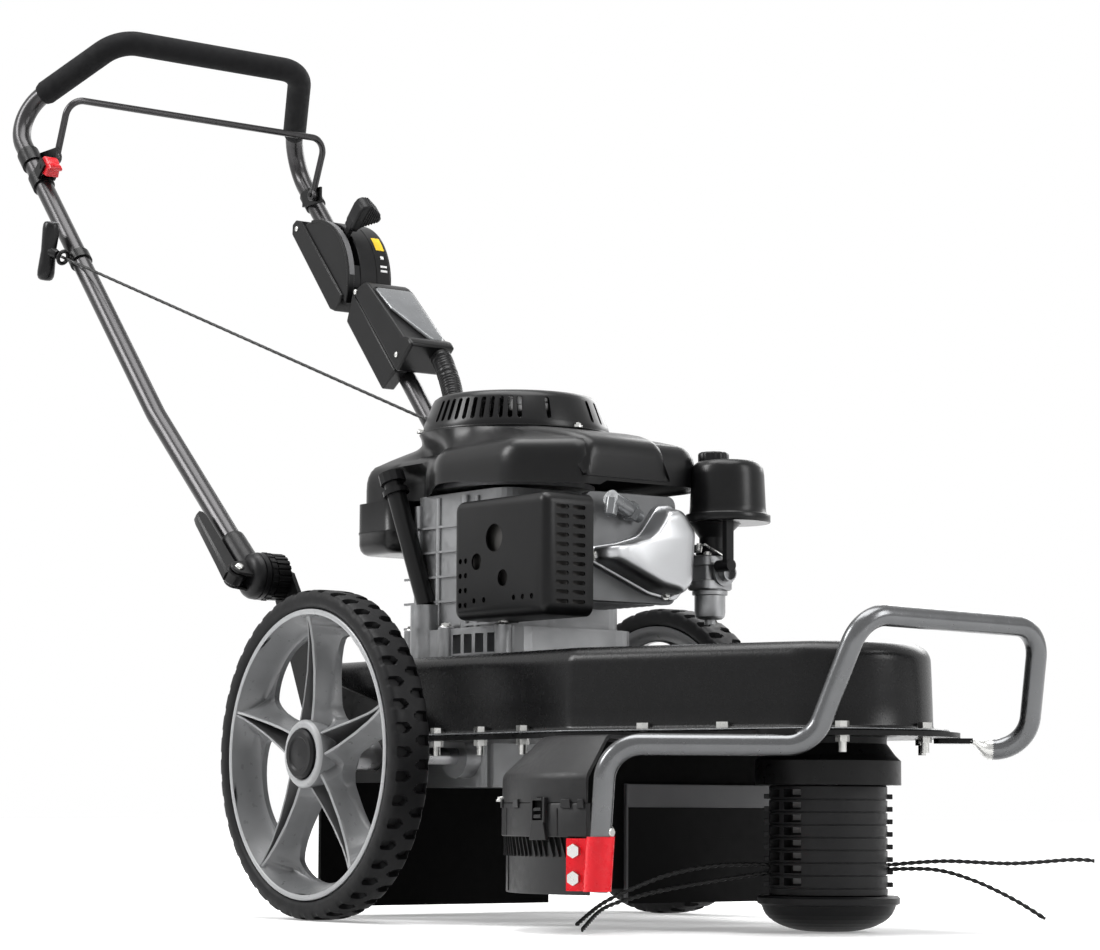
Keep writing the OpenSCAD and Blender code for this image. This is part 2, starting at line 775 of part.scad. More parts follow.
// Each cutting line leaves the drum and droops to the ground side
function from_drum(p) = let (k = (drum_r + 0.03) / norm([p[0], p[1]])) [p[0] * k, p[1] * k, p[2]];
line_routes = [
    [from_drum([37, 48, 66]), [70, 92, 70], [110, 146, 68], [146, 194, 72], [160, 212, 71]],
    [from_drum([46, 39, 62]), [80, 68, 62], [110, 92, 52], [140, 117, 34], [164, 137, 15]],
    [from_drum([-33, -51, 66]), [-60, -92, 65], [-82, -132, 57], [-98, -172, 42], [-104, -206, 27],
        [-76, -258, 9]],
    [from_drum([-30, -51, 58]), [-56, -92, 51], [-90, -134, 41], [-102, -172, 32], [-98, -210, 22],
        [-52, -270, 5]]];

module trim_lines() {
    color("#101010") for (route = line_routes) {
        pts = smooth(route, 5);
        sweep(pts, [for (p = pts) line_d / 2], 8);
    }
}

// Engine

module crankcase() {
    mid_x = (case_x0 + case_x1) / 2;
    color("#9fa1a3") engine() difference() {
        union() {
            translate([5, 0, 0]) slab(212, 2 * case_y + 28, base_h, 40);
            translate([mid_x, 0, base_h - e]) slab(case_x1 - case_x0, 2 * case_y, case_top - base_h + e,
                24);
            translate([oil_foot[0], oil_foot[1], 0]) cylinder(r = oil_tube_d / 2 + 7, h = oil_foot[2]);
        }
        translate([0, 0, base_h + 8]) cylinder(r = 62, h = case_top - base_h - 20);
        translate([0, 0, -e]) cylinder(r = crank_d / 2 + run_fit, h = case_top + 2 * e);
        for (k = [0 : 3]) translate([18 + 21 * k, -case_y - 14 - e, 5]) cube([15, 12, base_h - 12]);
        for (k = [0 : 3]) translate([-60 + 24 * k, case_y + 3, 5]) cube([16, 12, base_h - 12]);
        for (p = engine_bolts()) translate([p[0] - crank_x, p[1], -e])
            cylinder(d = bolt_d + 2 * bolt_fit, h = engine_bolt_l + 1);
        translate([bore_x, 0, bore_z]) rotate([0, 90, 0]) cylinder(r = 35, h = 90);
        translate([guard_x0 - 1, guard_y0 - guard_d, guard_z0 - 1])
            cube([guard_l, guard_d + 1, guard_h + 2]);
        aim(oil_foot, dip_top) cylinder(d = oil_tube_d + 2 * bolt_fit, h = 100);
    }
}

module cylinder_core() {
    rotate([0, 90, 0]) cylinder(r = 48, h = cyl_x1 - case_x1);
}

module cylinder_fins() {
    for (x = [case_x1 + 8 : fin_step : cyl_x1 - 12]) translate([x, -fin_y, bore_z - fin_z])
        cube([fin_t, 2 * fin_y, 2 * fin_z]);
}

module finned_cylinder() {
    color("#a9abad") engine() difference() {
        union() {
            translate([case_x1, 0, bore_z]) cylinder_core();
            cylinder_fins();
            translate([cyl_x1 - 10, -fin_y, bore_z - fin_z]) cube([16, 2 * fin_y, 2 * fin_z]);
        }
        translate([case_x1 - e, 0, bore_z]) rotate([0, 90, 0]) cylinder(r = 35, h = 84);
        aim(plug_from, plug_to) translate([0, 0, -30]) cylinder(r = 7, h = 60);
    }
}

cover_edge = [[-66, 112], [-62, 97], [18, 65], [54, 59], [68, 72], [73, 138], [52, 165], [30, 162],
    [4, 128], [-30, 118]];

module valve_cover() {
    color("#c3c5c7") engine() translate([cyl_x1 + 6, 0, 0]) rotate([90, 0, 90]) {
        linear_extrude(8) polygon(cover_edge);
        translate([0, 0, 8 - e]) linear_extrude(22) polygon([for (p = cover_edge) [4 + (p[0] - 4)
            * 0.88, 112 + (p[1] - 112) * 0.88]]);
        translate([0, 0, 30 - e]) linear_extrude(7) polygon([for (p = cover_edge) [6 + (p[0] - 6)
            * 0.76, 112 + (p[1] - 112) * 0.76]]);
        for (p = [[-54, 104], [40, 64], [60, 150]]) translate([p[0], p[1], 8 - e])
            cylinder(d = 9, h = 8, $fn = 6);
    }
}

module spark_plug() {
    color("#8f9194") engine() aim(plug_from, plug_to) {
        translate([0, 0, -12]) cylinder(r = 6.8, h = 14);
        translate([0, 0, 1]) cylinder(d = 22, h = 10, $fn = 6);
        translate([0, 0, 10]) cylinder(r = 9, h = 36);
        translate([0, 0, 42]) rotate([90, 0, 0]) cylinder(r = 7, h = 18);
    }
}

module muffler() {
    color("#6b6d70") engine() {
        translate([guard_x0 + 8, guard_y0 - guard_d + 8, guard_z0 + guard_wall])
            cube([guard_l - 16, guard_d - 12, guard_h - 2 * guard_wall]);
        translate([150, guard_y0 - 5, bore_z]) rotate([-90, 0, 0])
            cylinder(r = 15, h = 5 - guard_y0 - fin_y);
    }
}

// Perforated cover over the muffler
module muffler_guard() {
    big = [[44, 62, 9], [76, 86, 15], [92, 42, 9]];
    color("#121213") engine() translate([guard_x0, guard_y0 - guard_d, guard_z0]) difference() {
        translate([guard_l / 2, guard_d / 2, 0]) slab(guard_l, guard_d, guard_h, 10);
        translate([guard_l / 2, guard_d / 2 + guard_wall, guard_wall])
            slab(guard_l - 2 * guard_wall, guard_d, guard_h - 2 * guard_wall, 8);
        for (p = big) translate([p[0], guard_wall + 1, p[1]]) rotate([90, 0, 0]) cylinder(r = p[2],
            h = guard_wall + 2);
        for (z = [16, 32, 48, 64]) for (x = [14, 24]) translate([x, guard_wall + 1, z]) rotate([90, 0, 0])
            cylinder(r = 3, h = guard_wall + 2, $fn = 24);
        for (x = [40, 58, 112, 128, 144]) translate([x, guard_wall + 1, 20]) rotate([90, 0, 0])
            cylinder(r = 3, h = guard_wall + 2, $fn = 24);
        for (y = [14, 36]) for (k = [0 : 10]) translate([guard_l - guard_wall - 1, y, 12 + 10 * k])
            cube([guard_wall + 2, 17, 4.5]);
    }
}

shroud_plan = [[212, -70], [212, 92], [160, 128], [-120, 128], [-195, 80], [-203, -60], [-188, -84],
    [-40, -90],
    [15, -124], [150, -124]];

module shroud() {
    color("#151516") engine() difference() {
        union() {
            translate([0, 0, shroud_low]) linear_extrude(shroud_side - shroud_low) polygon(shroud_plan);
            hull() {
                translate([0, 0, shroud_side - e]) linear_extrude(e) polygon(shroud_plan);
                translate([0, 0, shroud_side + 14]) linear_extrude(e)
                    polygon([for (p = shroud_plan) [4 + (p[0] - 4) * 0.94, p[1] * 0.94]]);
                translate([0, 0, shroud_top - e]) cylinder(r = recoil_r + 3, h = e);
            }
        }
        translate([0, 0, shroud_low - e]) cylinder(r = 98, h = shroud_top - shroud_low - 10);
        translate([0, 0, shroud_low]) cylinder(r = recoil_r - 12, h = shroud_top);
        translate([90, -112, shroud_low - e]) cube([112, 190, 22]);
        translate([filter_x, filter_y, shroud_low - e]) cylinder(r = filter_r + 7, h = 80);
        translate([neck[0], neck[1], shroud_low - e]) cylinder(r = neck_r + 6, h = 90);
        translate([dip_top[0], dip_top[1], shroud_low - e]) cylinder(r = 24, h = 36);
    }
}

module recoil_cover() {
    eye = rope_from - [crank_x, 0, deck_top];
    color("#1a1a1b") engine() aim(eye, eye + pull) translate([0, 0, -eyelet_l])
        cylinder(r = eyelet_r, h = eyelet_l);
    color("#1a1a1b") engine() translate([0, 0, shroud_top]) difference() {
        rotate_extrude($fn = 96) polygon([[recoil_r - 8, 0], [recoil_r, 0], [recoil_r, 6],
            [recoil_r - 12, recoil_h - 7],
            [recoil_r - 24, recoil_h], [0, recoil_h], [0, recoil_h - 3], [recoil_r - 28, recoil_h - 3],
            [recoil_r - 16, recoil_h - 10], [recoil_r - 8, 6]]);
        for (k = [0 : recoil_slots - 1]) rotate(360 * k / recoil_slots) translate([recoil_r - 22, -3, 10])
            cube([30, 6, recoil_h - 21.5]);
        for (r = [20 : 14 : 62]) ring_slots(r);
    }
}

module ring_slots(r) {
    for (k = [0 : 5]) rotate(60 * k) translate([r, -9, recoil_h - 4]) cube([6, 18, 6]);
}

module fuel_tank() {
    color("#1c1c1d") engine() difference() {
        union() {
            translate([-148, 2, tank_low]) slab(84, 194, shroud_low - tank_low, 20);
            translate([neck[0], neck[1], shroud_low - 1]) cylinder(r = neck_r, h = neck_h);
            translate([-108, 30, tank_low + 10]) cube([case_x0 + 108, 30, 20]);
        }
        translate([-148, 2, tank_low + 3]) slab(78, 188, shroud_low - tank_low - 6, 17);
        translate([neck[0], neck[1], shroud_low - 4]) cylinder(r = neck_r - 3, h = neck_h + 10);
    }
}

module fuel_cap() {
    color("#1f1f20") engine() translate([neck[0], neck[1], shroud_low + neck_h - 1 + air]) {
        cylinder(r = neck_r + 4, h = 14, $fn = 12);
        translate([0, 0, -8]) cylinder(r = neck_r - 3 - run_fit, h = 9);
    }
}

module oil_tube() {
    color("#161617") engine() aim(oil_foot, dip_top) difference() {
        union() {
            cylinder(d = oil_tube_d, h = norm(dip_top - oil_foot));
            translate([0, 0, norm(dip_top - oil_foot) - 14]) cylinder(d = oil_tube_d + 8, h = 6);
        }
        translate([0, 0, 4]) cylinder(d = oil_tube_d - 6, h = 400);
    }
}

module dipstick() {
    l = norm(dip_top - oil_foot);
    color("#1d1d1e") engine() aim(oil_foot, dip_top) {
        translate([0, 0, l + air]) cylinder(d = oil_tube_d + 8, h = 12, $fn = 12);
        translate([0, 0, l - 8]) cylinder(d = oil_tube_d - 6 - 2 * run_fit, h = 9 + air);
        translate([0, 0, l - 110]) cylinder(d = 5, h = 110);
    }
}

module carburettor() {
    color("#8a8c8f") engine() {
        translate([196, fin_y, 78]) cube([15, 24, 30]);
        translate([214, 108, 72]) slab(40, 44, 42, 8);
        translate([214, 108, 42]) cylinder(r = 17, h = 30 + e);
        translate([214, 108, 36]) cylinder(d = 12, h = 6 + e, $fn = 6);
        translate([216, 112, 114 - e]) cylinder(r = 16, h = filter_z0 - 114 + e);
        translate([232, 112, 92]) rotate([0, 90, 0]) cylinder(r = 8, h = 16);
    }
}

module air_filter() {
    color("#171718") engine() translate([filter_x, filter_y, 0]) {
        rotate_extrude() polygon([[0, filter_z0], [filter_r + 5, filter_z0],
            [filter_r + 5, filter_z0 + 9],
            [filter_r, filter_z0 + 10], [filter_r - 3, filter_z1 - 8], [filter_r - 9, filter_z1],
                [0, filter_z1]]);
        translate([-10, -12, filter_z1 - e]) cylinder(r = 17, h = 10, $fn = 12);
    }
}

module crankshaft() {
    color("#9c9ea0") machine() translate([crank_x, 0, 0]) {
        translate([0, 0, gear_z - 2]) cylinder(d = crank_d, h = deck_top + fly_z + fly_h + 8 - gear_z +
            2);
        translate([0, 0, deck_top + bore_z - 34]) cylinder(r = 50, h = 14);
        translate([0, 0, deck_top + bore_z + 6]) cylinder(r = 50, h = 14);
        translate([28, 0, deck_top + bore_z - 34]) cylinder(r = 14, h = 54);
    }
}

module drive_pulley() {
    color("#7d7f82") machine() translate([crank_x, 0, 0]) {
        translate([0, 0, gear_z]) pulley(drive_r, crank_d / 2);
        translate([0, 0, gear_z + 4 + groove_h - e])
            ring(crank_d / 2 + 8, crank_d / 2, pulley_z - gear_z - 4 - groove_h + 2 * e);
        translate([0, 0, pulley_z]) pulley(drive_r, crank_d / 2);
    }
}

module flywheel() {
    color("#5b5d60") engine() translate([0, 0, fly_z]) difference() {
        union() {
            cylinder(r = 78, h = fly_h - 14);
            for (k = [0 : 15]) rotate(22.5 * k) translate([52, -2, fly_h - 14 - e]) cube([36, 4, 14]);
            cylinder(r = 90, h = 6);
        }
        translate([0, 0, -e]) cylinder(d = crank_d, h = fly_h + 1);
    }
}

module gear_pulley() {
    color("#7d7f82") machine() translate([gear_x, 0, 0]) {
        translate([0, 0, gear_z]) pulley(gear_r, gear_shaft_r - e);
        translate([0, 0, gear_z - 28]) cylinder(r = gear_shaft_r, h = 28 + gear_h + 4);
    }
}

module idler_arm() {
    d = idler_pivot - idler_c;
    l = norm(d);
    color("#8f9194") machine() difference() {
        translate([idler_c[0], idler_c[1], idler_z]) {
            rotate(atan2(d[1], d[0])) translate([l / 2, 0, 0]) slab(l + 26, 24, idler_t, 11);
            translate([0, 0, -idler_z + pulley_z + 1]) cylinder(r = 5, h = idler_z - pulley_z);
        }
        translate([idler_pivot[0], idler_pivot[1], idler_z - 1])
            cylinder(r = idler_post_r + run_fit, h = 20);
    }
}

module idler_pulley() {
    color("#3a3b3d") machine() translate([idler_c[0], idler_c[1], pulley_z + 1])
        ring(idler_r, 5, idler_z - pulley_z - 2);
}

// Handle

function tube_at(z, s) =
    let (t = (z - bend_z) / (back_z - bend_z))
    [bend_x + (back_x - bend_x) * t, s * (low_y + 4 + (top_y - low_y - 4) * t), z];

// Places on the upper tube: own X runs down the tube, own Z stands off it, forwards
module on_tube(z, s) {
    machine() translate(tube_at(z, s)) rotate([0, slope, 0]) children();
}

// Places on a knuckle: own X runs down the lower tube
module on_knuckle(s) {
    machine() translate([pivot_x, 0, pivot_z]) rotate([0, low_slope, 0]) children();
}

function low_end(s) = [pivot_x - 26 * cos(low_slope), s * low_y, pivot_z + 26 * sin(low_slope)];
function low_bend(s) = [bend_x, s * (low_y + 4), bend_z];
function back_bend(s) = [back_x, s * top_y, back_z];
function bar_end(s) = [bar_x, s * bar_y, bar_z];
handle_pts = [low_end(-1), low_bend(-1), back_bend(-1), bar_end(-1), bar_end(1), back_bend(1),
    low_bend(1), low_end(1)];
rope_to = tube_at(guide_z, -1) + [0, -ring_out, 0];
pull = unit(rope_to - rope_from);

module handle_tube() {
    color("#3c3d40") machine() bent_tube(handle_pts, tube_r, tube_wall, bar_bend, tube_sides);
}

module foam_grip() {
    share = 0.3;
    pts = [between(back_bend(-1), bar_end(-1), share), bar_end(-1), bar_end(1), between(back_bend(1),
        bar_end(1), share)];
    color("#121212") machine()
        pipe(bent_line(pts, bar_bend, bend_steps), grip_d / 2, tube_r / cos(180 / tube_sides) + run_fit,
            tube_sides);
}

// Moving half of each knuckle, with a socket for the tube and ears for the cam lever
module knuckles() {
    color("#1b1b1c") for (s = [-1, 1]) difference() {
        union() {
            machine() translate([pivot_x, s * (face_y + air / 2), pivot_z]) rotate([-s * 90, 0, 0])
                difference() {
                cylinder(r = knuckle_r, h = knuckle_out - face_y - air / 2);
                disc_teeth(9);
            }
            machine() aim([pivot_x, s * low_y, pivot_z], low_bend(s)) translate([0, 0, cam_r + 2])
                cylinder(r = tube_r + 3, h = 24 - cam_r + socket_l);
            on_knuckle(s) for (k = [-1, 1])
                translate([-9, s > 0 ? knuckle_out - 1 : -rivet_y - 6, k > 0 ? cam_half + air
                    : -cam_half - air - ear_t])
                cube([18, rivet_y + 7 - knuckle_out, ear_t]);
            on_knuckle(s) translate([0, s * rivet_y, -cam_half - air - ear_t - 2])
                cylinder(r = rivet_r, h = 2 * (cam_half + air + ear_t + 2));
        }
        machine() aim(low_end(s), low_bend(s)) cylinder(r = tube_r, h = 300);
        machine() translate([pivot_x, s * face_y, pivot_z]) rotate([-s * 90, 0, 0])
            cylinder(r = bolt_d / 2 + run_fit, h = knuckle_out - face_y - 6);
    }
}

module clamp_bolts() {
    color("#b4b7bb") machine() for (s = [-1, 1]) translate([pivot_x, s * (fork_y - 6),
        pivot_z]) rotate([-s * 90, 0, 0]) {
        cylinder(d = hex_d, h = 6, $fn = 6);
        cylinder(d = bolt_d, h = knuckle_out - 8 - fork_y + 6);
    }
}

module cam_lever(s) {
    on_knuckle(s) translate([0, s * rivet_y, -cam_half]) difference() {
        union() {
            cylinder(r = cam_r, h = 2 * cam_half);
            translate([-cam_l / 2 - 2, s * 2, 0]) slab(cam_l - 4, 11, 2 * cam_half, 4);
        }
        translate([0, 0, -1]) cylinder(r = rivet_r + run_fit, h = 2 * cam_half + 2);
    }
}

module cam_lever_right() {
    color("#1f1f20") cam_lever(-1);
}

module cam_lever_left() {
    color("#1f1f20") cam_lever(1);
}

module bail() {
    top = [bail_x + 31, 0, bail_z + 73];
    legs = [for (s = [-1, 1]) [bail_x, s * eye_y, bail_z]];
    color("#232325") machine() difference() {
        union() {
            bent_bar([legs[0], top + [0, -eye_y, 0], top + [0, eye_y, 0], legs[1]], bail_d / 2, 22,
                bore_sides);
            for (s = [-1, 1]) translate([bail_x, s * eye_y - 4, bail_z]) rotate([-90, 0, 0])
                cylinder(r = eye_r, h = 8);
        }
        for (s = [-1, 1]) translate([bail_x, s * eye_y - 12, bail_z]) rotate([-90, 0, 0])
            cylinder(r = pin_r + run_fit, h = 24);
    }
}

// Steel clips on the tube: bail pivots, lock lever ears and the rope guide
module handle_brackets() {
    wall_y = eye_y + 4 + air;
    color("#2b2b2d") difference() {
        union() {
            for (s = [-1, 1]) {
                on_tube(bail_z, s) rotate([0, 90, 0]) translate([0, 0, -12])
                    cylinder(r = tube_r + collar_t, h = 24);
                machine() translate([bail_x, s * (eye_y - 6), bail_z]) rotate([-s * 90, 0, 0])
                    cylinder(r = pin_r, h = 14);
                machine() translate([0, s > 0 ? wall_y : -wall_y - 3, 0])
                    translate([bail_x - 34, 0, bail_z - 11])
                    cube([46, 3, 22]);
            }
            on_tube(lock_z, -1) {
                rotate([0, 90, 0]) translate([0, 0, -11]) cylinder(r = tube_r + collar_t, h = 22);
                for (k = [-1, 1]) translate([-8, k > 0 ? 9 + air : -12 - air, 10])
                    cube([16, 3, lock_up - 2]);
                translate([0, -13, lock_up]) rotate([-90, 0, 0]) cylinder(r = pin_r, h = 26);
            }
            on_tube(guide_z, -1) rotate([0, 90, 0]) translate([0, 0, -7])
                cylinder(r = tube_r + collar_t, h = 14);
            machine() translate(tube_at(guide_z, -1)) rotate([90, 0, 0])
                cylinder(r = 3.5, h = ring_out - ring_r);
            machine() aim(rope_to, rope_to + pull) rotate_extrude() translate([ring_r, 0])
                circle(r = ring_wire, $fn = 24);
        }
        machine() aim(tube_at(bail_z - 300, -1), tube_at(bail_z, -1)) cylinder(r = tube_r, h = 500);
        machine() aim(tube_at(bail_z - 300, 1), tube_at(bail_z, 1)) cylinder(r = tube_r, h = 500);
    }
}

module lock_lever() {
    color("#c4121a") on_tube(lock_z, -1) difference() {
        union() {
            translate([0, -9, lock_up]) rotate([-90, 0, 0]) cylinder(r = 7, h = 18);
            translate([-7, -9, lock_up]) cube([26, 18, 13]);
            translate([-12, -9, lock_up + 10]) cube([26, 18, 4]);
        }
        translate([0, -20, lock_up]) rotate([-90, 0, 0]) cylinder(r = pin_r + run_fit, h = 40);
    }
}

module starter_rope() {
    color("#151515") machine() aim(rope_from, rope_to)
        cylinder(d = rope_d, h = norm(rope_to - rope_from) + 10);
}

module starter_grip() {
    mid_p = rope_to + pull * 28;
    color("#161616") machine() difference() {
        union() {
            translate(mid_p) rotate([0, 12, 0]) translate([0, 0, -38]) {
                translate([0, 0, 8]) cylinder(r = 11, h = 60);
                sphere_end(8);
                translate([0, 0, 76]) mirror([0, 0, 1]) sphere_end(8);
            }
            aim(rope_to + pull * 10.5, mid_p) cylinder(r1 = 5, r2 = 8, h = 17);
        }
        aim(rope_to, mid_p) cylinder(d = rope_d + 0.2, h = 16);
    }
}

module sphere_end(h) {
    cylinder(r1 = 6, r2 = 11, h = h);
}

// Consoles on the left tube
module console_upper() {
    color("#191a1b") difference() {
        on_tube(console_z, 1) union() {
            translate([0, -clasp_y, 0]) rotate([90, 0, 0]) linear_extrude(26.5)
                polygon([[-4, -8], [10, 0], [164, 0], [168, -8], [168, -26], [156, -32], [4, -28],
                    [-6, -18]]);
            dome(33, 70, clasp_y);
            dome(-clasp_y, 23.5, -5);
        }
        on_tube(console_z, 1) translate([shift_x - 45, shift_y - 5, -4]) cube([95, 10, 90]);
        left_tube();
    }
    color("#191a1b") on_tube(console_z, 1) translate([shift_x, shift_y - 6, 8]) rotate([-90, 0, 0])
        cylinder(r = 4, h = 12);
}

// Round back of the upper console, from y over a width, above a level
module dome(y, wide, level) {
    translate([0, y, 0]) rotate([90, 0, 0]) linear_extrude(wide) difference() {
        translate([dome_x, dome_top - dome_r]) circle(dome_r);
        translate([dome_x - 2 * dome_r, level - 3 * dome_r]) square([4 * dome_r, 3 * dome_r]);
    }
}

module shift_lever() {
    reach = 60;
    color("#141414") on_tube(console_z, 1) translate([shift_x, shift_y, 8]) difference() {
        union() {
            rotate([-90, 0, 0]) translate([0, 0, -3.5]) cylinder(r = 9, h = 7);
            translate([-6, -3.5, 0]) cube([12, 7, reach]);
            translate([0, 6, reach - 2]) for (k = [0 : 4]) translate([0, 0, 8 * k])
                slab(24 + k, 30 + 2 * k, 6.5, 7);
            translate([0, 6, reach - 2]) slab(18, 24, 38, 6);
        }
        rotate([-90, 0, 0]) translate([0, 0, -6]) cylinder(r = 4 + run_fit, h = 12);
    }
}

module console_lower() {
    color("#1a1b1c") difference() {
        on_tube(console_z, 1) lower_box();
        left_tube();
    }
}

module left_tube() {
    machine() aim(tube_at(bend_z, 1), tube_at(back_z, 1)) cylinder(r = tube_r + bolt_fit, h = 600);
}

module lower_box() {
    translate([0, 36, 0]) rotate([90, 0, 0]) linear_extrude(70)
        polygon([[172, clasp_y], [184, 42], [194, 46], [310, 56], [322, 64], [334, 64], [334, clasp_y]]);
    translate([0, -clasp_y, 0]) rotate([90, 0, 0]) linear_extrude(20.5)
        polygon([[172, clasp_y + e], [334, clasp_y + e], [328, -24], [192, -22]]);
    translate([0, 28, 0]) rotate([90, 0, 0]) linear_extrude(50)
        polygon([[206, 46], [300, 54.5], [299, 58.5], [208, 50]]);
}

// Corrugated hose from the lower console to the deck
conduit_route = [[-463, 236, 710.6], [-441, 230, 688], [-417, 222, 660], [-380, 206, 612],
    [-340, 186, 556], [-300, 168, 496], [-265, 154, 434], [-228, 140, 384], [-180, 124, 350],
    [-136, 110.2, 318], [-133, 109.3, 285.9]];

module control_conduit() {
    pts = smooth(conduit_route, 18);
    last = len(pts) - 1;
    bore = smooth(conduit_route, 3);
    color("#1c1c1d") machine() difference() {
        sweep(pts, [for (i = [0 : last]) i % 2 == 0 ? conduit_d / 2 : conduit_d / 2 - 2], 12);
        sweep(concat([2 * bore[0] - bore[1]], bore, [2 * bore[len(bore) - 1] - bore[len(bore) - 2]]),
            [for (i = [0 : len(bore) + 1]) conduit_d / 2 - 4], 12);
    }
}

deck_shell();
base_plate();
deck_bolts();
frame_brackets();
axle();
gearbox();
debris_hood();
shield_skirt();
back_panel();
rear_flap();
bumper_bar();
bumper_bracket();
spindle_housing();
belts();
crankcase();
finned_cylinder();
valve_cover();
muffler();
muffler_guard();
shroud();
recoil_cover();
fuel_tank();
oil_tube();
carburettor();
air_filter();
spark_plug();
starter_rope();
control_conduit();
clamp_bolts();
fuel_cap();
dipstick();
rim_right();
rim_left();
tyre_right();
tyre_left();
hub_cap_right();
hub_cap_left();
spindle_shaft();
driven_pulley();
trim_head();
trim_lines();
mow_ball();
crankshaft();
drive_pulley();
flywheel();
gear_pulley();
idler_arm();
idler_pulley();
handle_tube();
foam_grip();
knuckles();
cam_lever_right();
cam_lever_left();
bail();
handle_brackets();
lock_lever();
starter_grip();
console_upper();
console_lower();
shift_lever();
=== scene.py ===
import bmesh
import bpy
import math
from mathutils import Matrix, Vector


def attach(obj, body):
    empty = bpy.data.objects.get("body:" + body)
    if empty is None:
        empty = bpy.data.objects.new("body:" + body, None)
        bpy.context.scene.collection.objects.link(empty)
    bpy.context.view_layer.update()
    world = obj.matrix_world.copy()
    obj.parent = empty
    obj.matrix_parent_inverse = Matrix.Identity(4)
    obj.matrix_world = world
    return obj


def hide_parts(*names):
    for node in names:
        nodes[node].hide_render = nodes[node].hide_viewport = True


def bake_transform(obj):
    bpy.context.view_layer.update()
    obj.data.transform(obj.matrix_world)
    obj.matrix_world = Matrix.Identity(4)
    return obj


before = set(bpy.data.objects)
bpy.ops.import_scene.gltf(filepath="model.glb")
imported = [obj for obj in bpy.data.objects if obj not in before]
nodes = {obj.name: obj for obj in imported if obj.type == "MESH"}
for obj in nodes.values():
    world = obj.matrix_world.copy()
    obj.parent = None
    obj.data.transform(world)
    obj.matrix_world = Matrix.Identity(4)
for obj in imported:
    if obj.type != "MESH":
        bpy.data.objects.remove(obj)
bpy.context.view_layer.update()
scene = bpy.context.scene
pi = math.pi

# Driving sizes in mm. The machine's origin is on the ground below the axle: x ahead, y to the left, z up.
HEAD_X, HEAD_Y = 518, 28
AXLE_Z, WHEEL_Y = 178, 241
DECK_HALF_W, DECK_BACK, DECK_TOP = 150, -160, 285
ENGINE_X = 25
BUMPER_R, BUMPER_Z = 10.5, 181.5
FOLD_X, FOLD_Z = -200, 385
HANDLE_SIDE = [(-219.044, 207, 402.7), (-425, 211, 594), (-812, 220, 1029), (-665, 140, 1117)]


def rad(a):
    return a * pi / 180


def M(x, y, z):
    """Machine place in mm to the row frame in metres."""
    return Vector(((x - HEAD_X) / 1000, (y - HEAD_Y) / 1000, z / 1000))


def E(x, y, z):
    """Place in mm from the engine's shaft at the deck's top."""
    return M(x + ENGINE_X, y, z + DECK_TOP)


# Camera, fitted to the photograph
def make_camera():
    yaw, pitch, roll = rad(53.01), rad(6.24), rad(0.27)
    focal_px, frame_px = 3080, 1100
    ahead = Vector((-math.sin(yaw) * math.cos(pitch), math.cos(yaw) * math.cos(pitch), math.sin(pitch)))
    level = Vector((math.cos(yaw), math.sin(yaw), 0))
    right = math.cos(roll) * level + math.sin(roll) * level.cross(ahead)
    cam = bpy.data.cameras.new("camera")
    cam.sensor_fit = "HORIZONTAL"
    cam.sensor_width = 36
    cam.lens = focal_px / frame_px * 36
    cam.clip_start, cam.clip_end = 0.05, 60
    ob = bpy.data.objects.new("camera", cam)
    scene.collection.objects.link(ob)
    place = Matrix((right, right.cross(ahead), -ahead)).transposed().to_4x4()
    place.translation = Vector((2.3074, -2.0885, 0.1172))
    ob.matrix_world = place
    scene.camera = ob


make_camera()


# Materials
class Mat:
    """A new material with its Principled shader and short ways to add nodes."""

    def __init__(self, name):
        self.m = bpy.data.materials.new(name)
        self.m.use_nodes = True
        self.t = self.m.node_tree
        self.b = self.t.nodes["Principled BSDF"]
        self.co = self.add("ShaderNodeTexCoord").outputs["Object"]

    def add(self, kind, **kw):
        n = self.t.nodes.new(kind)
        for k, v in kw.items():
            setattr(n, k, v)
        return n

    def link(self, a, b):
        self.t.links.new(a, b)

    def noise(self, scale, detail=3.0, rough=0.55):
        n = self.add("ShaderNodeTexNoise")
        n.inputs["Scale"].default_value = scale
        n.inputs["Detail"].default_value = detail
        n.inputs["Roughness"].default_value = rough
        self.link(self.co, n.inputs["Vector"])
        return n.outputs["Fac"]

    def span(self, fac, lo, hi, a, b):
        n = self.add("ShaderNodeMapRange")
        for k, v in (("From Min", lo), ("From Max", hi), ("To Min", a), ("To Max", b)):
            n.inputs[k].default_value = v
        self.link(fac, n.inputs["Value"])
        return n.outputs["Result"]

    def mix(self, fac, c1, c2):
        n = self.add("ShaderNodeMix", data_type="RGBA")
        self.link(fac, n.inputs["Factor"])
        for i, c in (("A", c1), ("B", c2)):
            s = [x for x in n.inputs if x.name == i and x.type == "RGBA"][0]
            if isinstance(c, tuple):
                s.default_value = (*c, 1)
            else:
                self.link(c, s)
        return [x for x in n.outputs if x.type == "RGBA"][0]

    def bump(self, height, strength, dist):
        n = self.add("ShaderNodeBump")
        n.inputs["Strength"].default_value = strength
        n.inputs["Distance"].default_value = dist
        self.link(height, n.inputs["Height"])
        old = self.b.inputs["Normal"].links
        if old:
            self.link(old[0].from_socket, n.inputs["Normal"])
        self.link(n.outputs["Normal"], self.b.inputs["Normal"])


